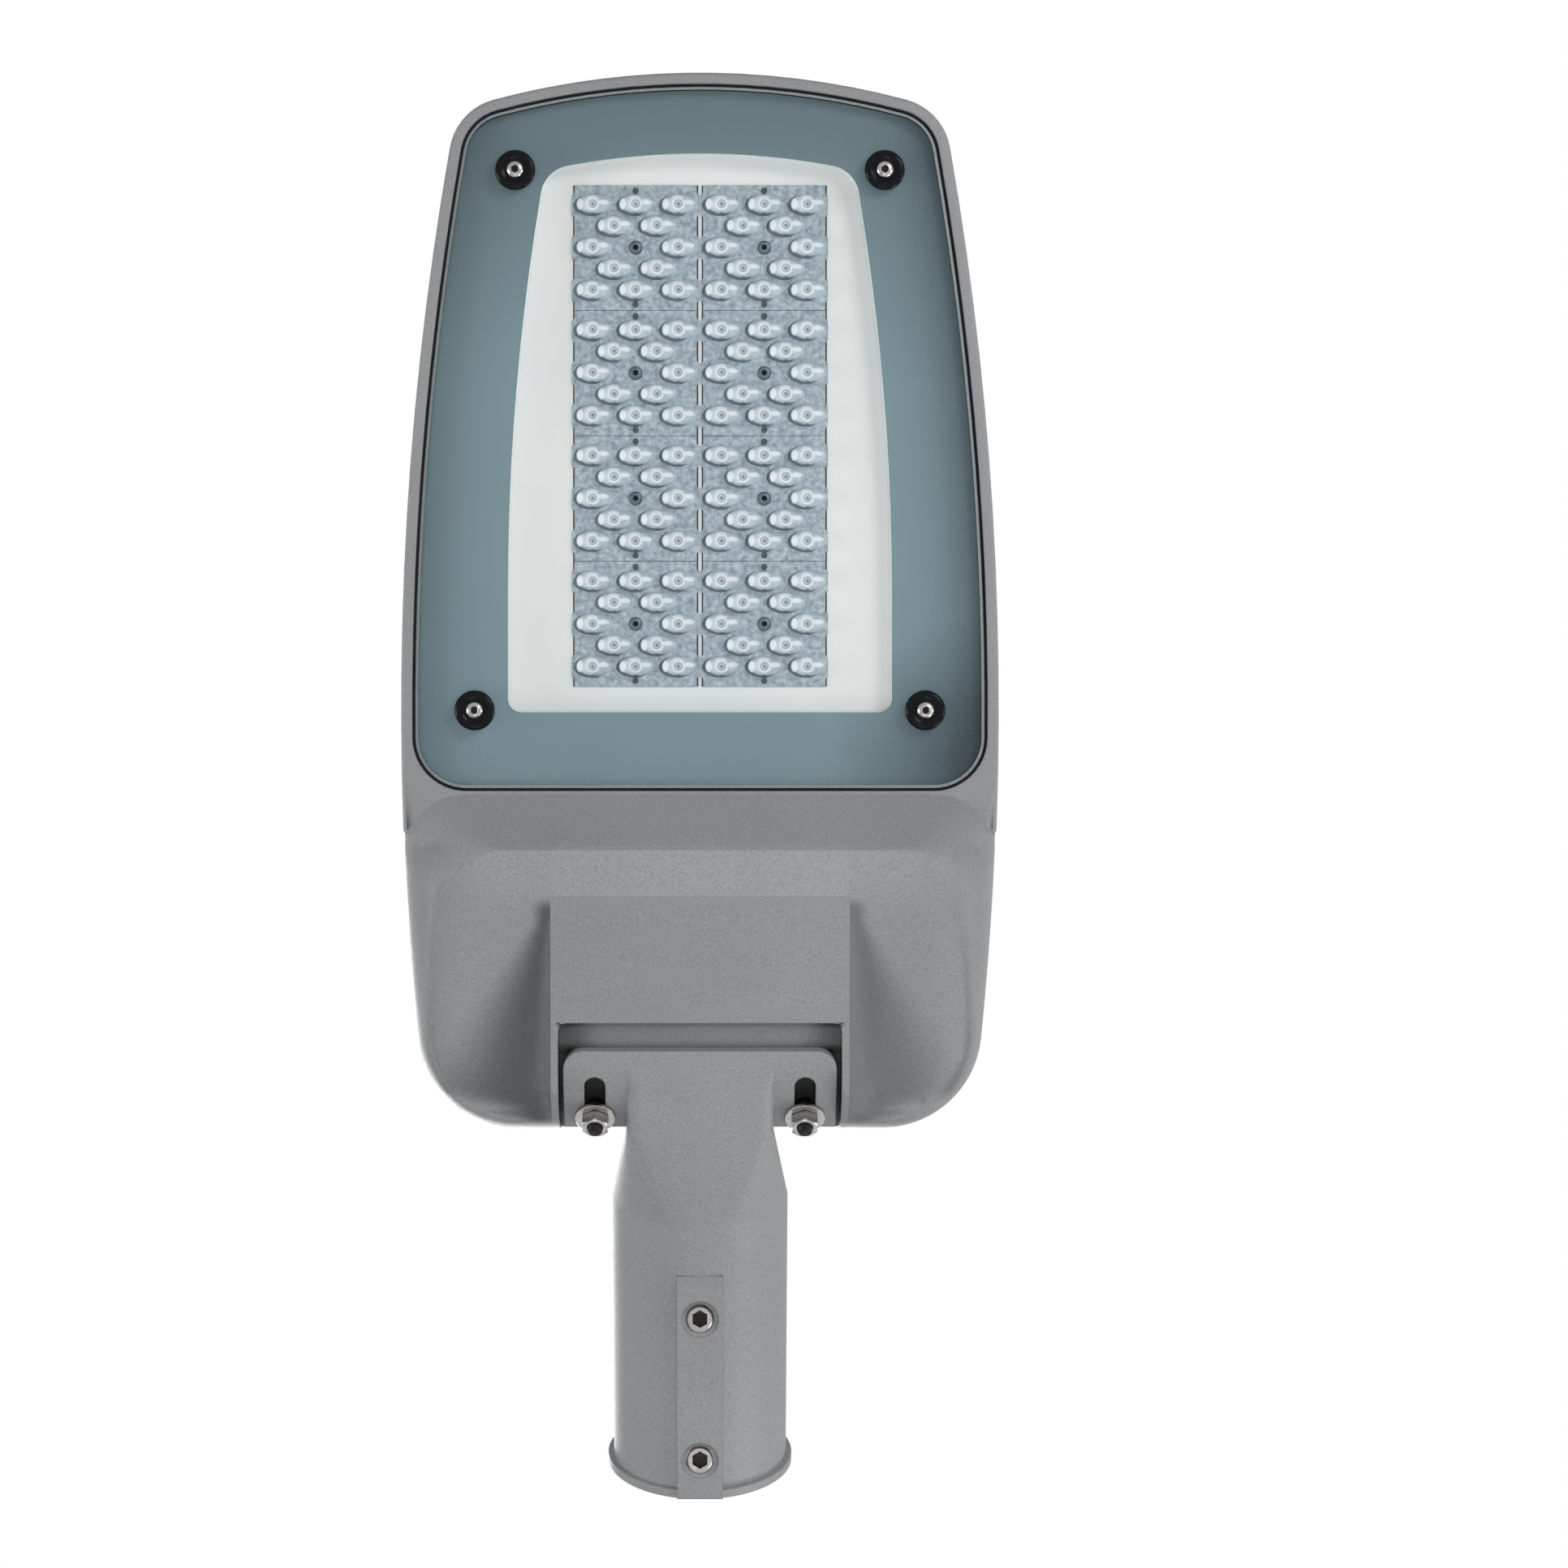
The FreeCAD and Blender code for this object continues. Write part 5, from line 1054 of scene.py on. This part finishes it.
# %% Set screws
# along the bevelled end: the part of the radius, and the height in millimetres
SET_SCREW_RIM = [(0.95, -1.1), (1.0, -1.0), (1.0, -0.75), (0.93, -0.25), (0.86, 0.0)]


def row_tree(name, material):
    """Two copies of the pattern, the second one step on."""
    tree = Tree(name, start=(0.0, 0.0, 0.0), step=(0.0, 0.0, 0.0))
    inputs = {"Count": 2, "Start Location": tree.size("Start"), "Offset": tree.size("Step")}
    return tree.finish(tree.copied(tree.out("GeometryNodeMeshLine", inputs), tree.pattern), material)


def set_screw(radius, flats, length):
    """A grub screw whose bevelled outer end is at height zero and whose tip is below."""
    rings = [(radius * 0.3, -length), (radius * 0.6, -length), (radius * 0.95, -length * 0.85)]
    rings += [(radius * part, level * MM) for part, level in SET_SCREW_RIM]
    rings += [(six_sided(flats * 1.1), 0.0), (six_sided(flats), -0.25 * MM), (six_sided(flats), -2.1 * MM)]
    return lathe(rings + [(flats * 0.1, -2.2 * MM)])


low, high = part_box("set_screw_1")
first = Vector(((low.x + high.x) / 2, (low.y + high.y) / 2, low.z))
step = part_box("set_screw_2")[0] - low
grub = set_screw(radius=5.5 * MM, flats=5.8 * MM, length=high.z - low.z)
grub = mesh_of(grub, "set_screw", HEAD_DOWN, socket=3.6 * MM)
set_screws = row_tree("set_screw_row", FINISHES["stainless"]).run("set_screws", grub, start=first, step=step)
stand_in(set_screws, numbered("set_screw", 2), "spigot")


# %% [markdown]
# ## Screws of the gear cover
#
# Six cap screws with a knurled head hold the cover on the roof. The knurl is again a radius that changes with
# the angle.

# %% Cover screws
COVER_ROWS = {"rear": "cover_screw_2", "side": "cover_screw_4", "front": "cover_screw_6"}
KNURL_DEPTH = 0.12 * MM
KNURLS = 36


def cap_screw(head, high, flats, shank, length):
    """A cap screw with a knurled head: its seat is at height zero."""
    def knurl(angle):
        return head - KNURL_DEPTH * (0.5 + 0.5 * math.cos(angle * KNURLS))

    rings = shank_rings(shank, length) + [(head * 0.95, 0.0), (knurl, 0.08 * high), (knurl, 0.86 * high)]
    rings += [(head * 0.97, 0.9 * high), (head * 0.9, high)]
    return lathe(rings + socket_rings(flats, high, 0.95, 0.4, 0.36), 4 * KNURLS)


cap = cap_screw(head=4.45 * MM, high=3.45 * MM, flats=4.0 * MM, shank=2.48 * MM, length=23.9 * MM)
cap = mesh_of(cap, "cap_screw", socket=2.5 * MM)
cap_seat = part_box("cover_screw_2")[1].z - 3.5 * MM
set_in_pairs("cover_screws", cap, "stainless", cap_seat, COVER_ROWS, numbered("cover_screw", 6))


# %% [markdown]
# ## The pane of glass
#
# The pane's outline is taken from its own solid: the loops of edges where its flat face turns into a wall. The
# pane reaches a little past it, over the seal's soft lip. The outline is then drawn in for the outer face, so a
# bevel runs round it, and that bevel is ground glass.

# %% Outline of the pane
EDGE_LINE = 1.15 * MM
SEAL_COVERED = 0.8 * MM


def area_of(loop):
    return sum(a.x * b.y - b.x * a.y for a, b in zip(loop, loop[1:] + loop[:1])) / 2


def face_loops(node, level):
    """The closed loops of a solid's flat face at a height, the largest first."""
    work = bmesh.new()
    work.from_mesh(NODES[node].data)
    bmesh.ops.remove_doubles(work, verts=work.verts, dist=0.002 * MM)
    follow = {}
    for face in work.faces:
        if abs(face.normal.z) < 0.9 or any(abs(vert.co.z - level) > 0.01 * MM for vert in face.verts):
            continue
        for loop in face.loops:
            walls = [other for other in loop.edge.link_faces if other is not face]
            if any(abs(other.normal.z) < 0.5 for other in walls):
                follow[loop.vert] = loop.link_loop_next.vert
    loops = []
    while follow:
        start, after = follow.popitem()
        chain = [start]
        while after is not start:
            chain.append(after)
            after = follow.pop(after)
        loops.append([Vector((vert.co.x, vert.co.y)) for vert in chain])
    work.free()
    return sorted(loops, key=lambda loop: -abs(area_of(loop)))


def drawn_in(loop, amount):
    """The loop moved inwards by an amount, square to itself at every point."""
    turn = 1 if area_of(loop) > 0 else -1
    moved = []
    for before, point, after in zip(loop[-1:] + loop[:-1], loop, loop[1:] + loop[:1]):
        run = (point - before).normalized() + (after - point).normalized()
        side = Vector((-run.y, run.x)).normalized() * turn
        moved.append(point + side * amount)
    return moved


outline, *holes = face_loops("glass_cover", GLASS_FACE)
print("pane outline:", len(outline), "points and", len(holes), "holes")


# %% Build the pane
def make_pane():
    work = bmesh.new()
    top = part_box("glass_cover")[1].z - 0.03 * MM
    outer = drawn_in(outline, -SEAL_COVERED)

    def ring(loop, z):
        return [work.verts.new((point.x, point.y, z)) for point in loop]

    def sheet(rings):
        flat = [vert for verts in rings for vert in verts]
        for corners in tessellate_polygon([[vert.co for vert in verts] for verts in rings]):
            work.faces.new([flat[corner] for corner in corners])

    face_rim = ring(drawn_in(outer, EDGE_LINE), GLASS_FACE)
    edge_low = ring(outer, GLASS_FACE + EDGE_LINE * 0.5)
    edge_high = ring(outer, top)
    low_holes = [ring(loop, GLASS_FACE) for loop in holes]
    high_holes = [ring(loop, top) for loop in holes]
    band(work, face_rim, edge_low, 1)
    band(work, edge_low, edge_high, 1)
    for first, second in zip(low_holes, high_holes):
        band(work, first, second)
    sheet([face_rim, *low_holes])
    sheet([edge_high, *high_holes])
    bmesh.ops.recalc_face_normals(work, faces=work.faces)
    mesh = to_mesh(work, "glass_pane")
    mesh.materials.append(FINISHES["clear_glass"])
    mesh.materials.append(GROUND_EDGE)
    stand_in(placed("glass_pane", mesh), ["glass_cover"], "head")


make_pane()


# %% [markdown]
# ## The lens plates
#
# A plate carries twelve lenses in staggered rows of three, two, two, two and three, round the screw in its
# middle. One lens is a fine grid, pressed from a square into an oval and raised: two lobes with a saddle between
# them, and a dimple over the LED. Two lattices of points carry the copies. The tree's pattern is the plate
# itself: a slab whose sides step out beside the rows of three, so that neighbours meet there and leave the white
# tray in view beside the rows of two.

# %% One lens, and the lattice it repeats on
PLATE_NODES = sorted(name for name in NODES if name.startswith("lens_plate"))
PLATE_THICK = 3.0 * MM
PLATE_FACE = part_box(PLATE_NODES[0])[1].z - PLATE_THICK
LENS_COLUMNS, LENS_ROWS = 45, 31
LENS_SKIRT = 1.06
LENS_FOOT = 0.05 * MM
SADDLE_DEPTH, SADDLE_SHARP = 0.16, -7.0
DIMPLE_DEPTH, DIMPLE_SHARP = 0.22, -9.0


def lens_dome(tree):
    """One lens below the plate's face. Its place, in millimetres, is stored on every point before it is shaped."""
    u, v, _ = tree.split(tree.out("GeometryNodeInputPosition"))
    oval_u = u * (1.0 - v * v * 0.5).maths("SQRT") * LENS_SKIRT
    oval_v = v * (1.0 - u * u * 0.5).maths("SQRT") * LENS_SKIRT
    x, y = oval_u * tree.size("Half length"), oval_v * tree.size("Half width")
    square_u, square_v = oval_u * oval_u, oval_v * oval_v
    swell = (1.0 - (square_u + square_v)).maths("MAXIMUM", 0.0).maths("POWER", 0.5)
    saddle = (square_u * SADDLE_SHARP).maths("EXPONENT") * SADDLE_DEPTH
    dimple = ((square_u * 3.1 + square_v) * DIMPLE_SHARP).maths("EXPONENT") * DIMPLE_DEPTH
    down = swell * (1.0 - saddle - dimple) * tree.size("Height") * -1.0 - LENS_FOOT
    place = tree.vector(x * 1000.0, y * 1000.0, 1.0)
    flat = tree.stored(tree.grid(2.0, 2.0, LENS_COLUMNS, LENS_ROWS), "lens_place", place, "FLOAT_VECTOR")
    raised = tree.out("GeometryNodeSetPosition", {"Geometry": flat, "Position": tree.vector(x, y, down)})
    flipped = tree.out("GeometryNodeFlipFaces", {"Mesh": raised})
    return tree.out("GeometryNodeSetShadeSmooth", {"Geometry": flipped})


def lattice(tree, columns, rows):
    """Points of a small grid, without the one in the middle."""
    reach_x = tree.size("Pitch across") * float(columns - 1)
    reach_y = tree.size("Pitch along") * (float(rows - 1) * 2.0)
    points = tree.out("GeometryNodeMeshToPoints", {"Mesh": tree.grid(reach_x, reach_y, columns, rows)})
    place = tree.out("GeometryNodeInputPosition")
    far = tree.out("ShaderNodeVectorMath", {0: place}, "Value", operation="LENGTH")
    central = far.maths("LESS_THAN", MM)
    return tree.out("GeometryNodeDeleteGeometry", {"Geometry": points, "Selection": central})


# %% The tree of one lens plate
ROW_PITCH = 8.6
PEG_HEIGHT = 0.9 * MM
PEG_SUNK = -0.3 * MM


def lens_plate_tree():
    tree = Tree(
        "lens_plate_tree", centre=(0.0, 0.0, 0.0), half_length=7.45 * MM, half_width=4.2 * MM, height=4.4 * MM,
        pitch_across=17.2 * MM, pitch_along=ROW_PITCH * MM, peg_reach=22.9 * MM, peg_radius=1.25 * MM,
    )
    domes = tree.copied(tree.joined(lattice(tree, 3, 3), lattice(tree, 2, 2)), lens_dome(tree))
    inputs = {"Vertices": 16, "Radius": tree.size("Peg radius"), "Depth": PEG_HEIGHT}
    peg = tree.stored(tree.out("GeometryNodeMeshCylinder", inputs, "Mesh"), "peg", 1.0, "FLOAT")
    pegs = [tree.moved(peg, tree.vector(0.0, tree.size("Peg reach") * side, PEG_SUNK)) for side in (-1.0, 1.0)]
    whole = tree.joined(tree.pattern, domes, *pegs)
    return tree.finish(tree.moved(whole, tree.size("Centre")), FINISHES["clear_lens"])


# %% The slab of a plate, in millimetres
SLAB_HALF, SLAB_END = 24.6, 25.15
CORE_HALF, CORE_END = 24.55, 24.7
CORE_FOOT = 0.1
STEP_OUT = 1.05
STEP_HALF, STEP_RUN = 4.0, 0.8
LIP_THICK = 0.6


def plate_slab():
    """The flat part of a plate: a lip that steps out beside the rows of three, and a plain core on it."""
    work = bmesh.new()
    lip = [(SLAB_HALF, -SLAB_END)]
    for row in (-2, 0, 2):
        low, high = row * ROW_PITCH - STEP_HALF, row * ROW_PITCH + STEP_HALF
        lip += [(SLAB_HALF, low - STEP_RUN), (SLAB_HALF + STEP_OUT, low)]
        lip += [(SLAB_HALF + STEP_OUT, high), (SLAB_HALF, high + STEP_RUN)]
    lip += [(SLAB_HALF, SLAB_END)]
    core = [(CORE_HALF, -CORE_END), (CORE_HALF, CORE_END)]
    for foot, head, right in ((0.0, LIP_THICK, lip), (CORE_FOOT, PLATE_THICK / MM, core)):
        shape = right + [(-x, y) for x, y in reversed(right)]
        low, high = ([work.verts.new((x * MM, y * MM, z * MM)) for x, y in shape] for z in (foot, head))
        work.faces.new(low)
        work.faces.new(list(reversed(high)))
        band(work, high, low)
    bmesh.ops.recalc_face_normals(work, faces=work.faces)
    return to_mesh(work, "plate_slab")


# %% Build the eight plates where the solids are
plates = lens_plate_tree()
for node in PLATE_NODES:
    centre = Vector((middle(node).x, middle(node).y, PLATE_FACE))
    plate = plates.run(node.replace("plate", "moulding"), plate_slab(), centre=centre)
    stand_in(plate, [node], "head")


# %% [markdown]
# ## Screws of the lens plates
#
# One small pan-head screw holds each plate. They stand on a two by four lattice, so a tree sets them all. They
# are plain zinc, which has gone dull, and look dark between the bright lenses.

# %% Lens screws
def lens_screws_tree(material):
    tree = Tree("lens_screws_tree", across=0.0, along=0.0, centre=(0.0, 0.0, 0.0))
    copies = tree.copied(tree.grid(tree.size("Across"), tree.size("Along"), 2, 4), tree.pattern)
    return tree.finish(tree.moved(copies, tree.size("Centre")), material)


centres = [middle(node) for node in PLATE_NODES]
across = max(c.x for c in centres) - min(c.x for c in centres)
along = max(c.y for c in centres) - min(c.y for c in centres)
centre = Vector((sum(c.x for c in centres) / 8, sum(c.y for c in centres) / 8, PLATE_FACE))
pan = button_screw(head=2.8 * MM, high=1.35 * MM, flats=2.0 * MM, shank=1.45 * MM, length=7.9 * MM)
pan = mesh_of(pan, "pan_screw", HEAD_DOWN, socket=1.3 * MM)
pans = lens_screws_tree(LENS_SCREW_ZINC).run("lens_plate_screws", pan, across=across, along=along, centre=centre)
stand_in(pans, ["lens_screws"], "head")


# %% [markdown]
# ## Light and background
#
# The photograph was cut out on white. The world is plain white wherever the camera, a mirror or a pane looks at
# it, and only a gentle fill to everything else. A frontal lamp lights the flat faces; it isn't mirrored, or it
# would stand in the glass as a pale disc. Lamps at both sides, almost level with the lamp head, draw its round
# forms, and one lies over the roof. The floor is far below, behind the camera, as the ground under a street lamp
# is.

# %% World
WORLD_FILL = 0.07


def make_world():
    world = bpy.data.worlds.new("white_world")
    world.use_nodes = True
    bpy.context.scene.world = world
    wiring = Wiring(world.node_tree)
    camera_ray, glossy, through = (
        wiring.out("ShaderNodeLightPath", port=f"Is {kind} Ray") for kind in ("Camera", "Glossy", "Transmission")
    )
    seen = camera_ray.maths("MAXIMUM", glossy.maths("MAXIMUM", through))
    colour, strength = world.node_tree.nodes["Background"].inputs[:2]
    wiring.feed(colour, (1, 1, 1))
    wiring.feed(strength, wiring.between(seen, WORLD_FILL, 1.0))


make_world()


# %% Lamps
AIM = Vector((0, 0.28, -0.05))
# each lamp's place, its size across and its power
LAMPS = {
    "front": ((0.0, 0.28, -1.75), 0.7, 9.4),
    "low": ((0.0, -0.7, -1.35), 0.7, 2.0),
    "left": ((1.5, 0.2, -0.4), 0.7, 10.0),
    "right_high": ((-0.9, 1.15, -1.1), 0.7, 7.2),
    "right_low": ((-1.1, -0.8, -0.45), 0.7, 6.0),
    "right": ((-1.5, 0.2, -0.4), 0.7, 4.6),
    "roof": ((0.4, -0.4, 1.9), 1.4, 34),
}

for name, (place, size, power) in LAMPS.items():
    data = bpy.data.lights.new(name, "AREA")
    data.shape = "DISK"
    data.size = size
    data.energy = power
    lamp = placed(name, data, place)
    lamp.rotation_euler = (AIM - Vector(place)).to_track_quat("-Z", "Y").to_euler()
    lamp.visible_glossy = name != "front"
print("lamps:", len(bpy.data.lights))


# %% Floor
FLOOR_Z = -2.9
FLOOR_HALF = 40.0
FLOOR_MIRRORED, FLOOR_SEEN = 0.55, 0.78


def make_floor():
    mesh = bpy.data.meshes.new("floor")
    corners = [(-1, -1), (1, -1), (1, 1), (-1, 1)]
    mesh.from_pydata([(x * FLOOR_HALF, y * FLOOR_HALF, FLOOR_Z) for x, y in corners], [], [(0, 1, 2, 3)])
    pale = Finish("pale_floor", (0.86, 0.86, 0.86), 0.8)
    mirrored = pale.out("ShaderNodeLightPath", port="Is Glossy Ray") * FLOOR_MIRRORED
    seen = pale.out("ShaderNodeLightPath", port="Is Camera Ray") * FLOOR_SEEN
    pale.set(Emission_Color=(1, 1, 1), Emission_Strength=mirrored.maths("MAXIMUM", seen))
    mesh.materials.append(pale.material)
    placed("floor", mesh)


make_floor()


# %% [markdown]
# ## Finish
#
# The picture is shown without any film look, so that a colour renders as it is written.

# %% Colour management, end
bpy.context.scene.view_settings.view_transform = "Standard"
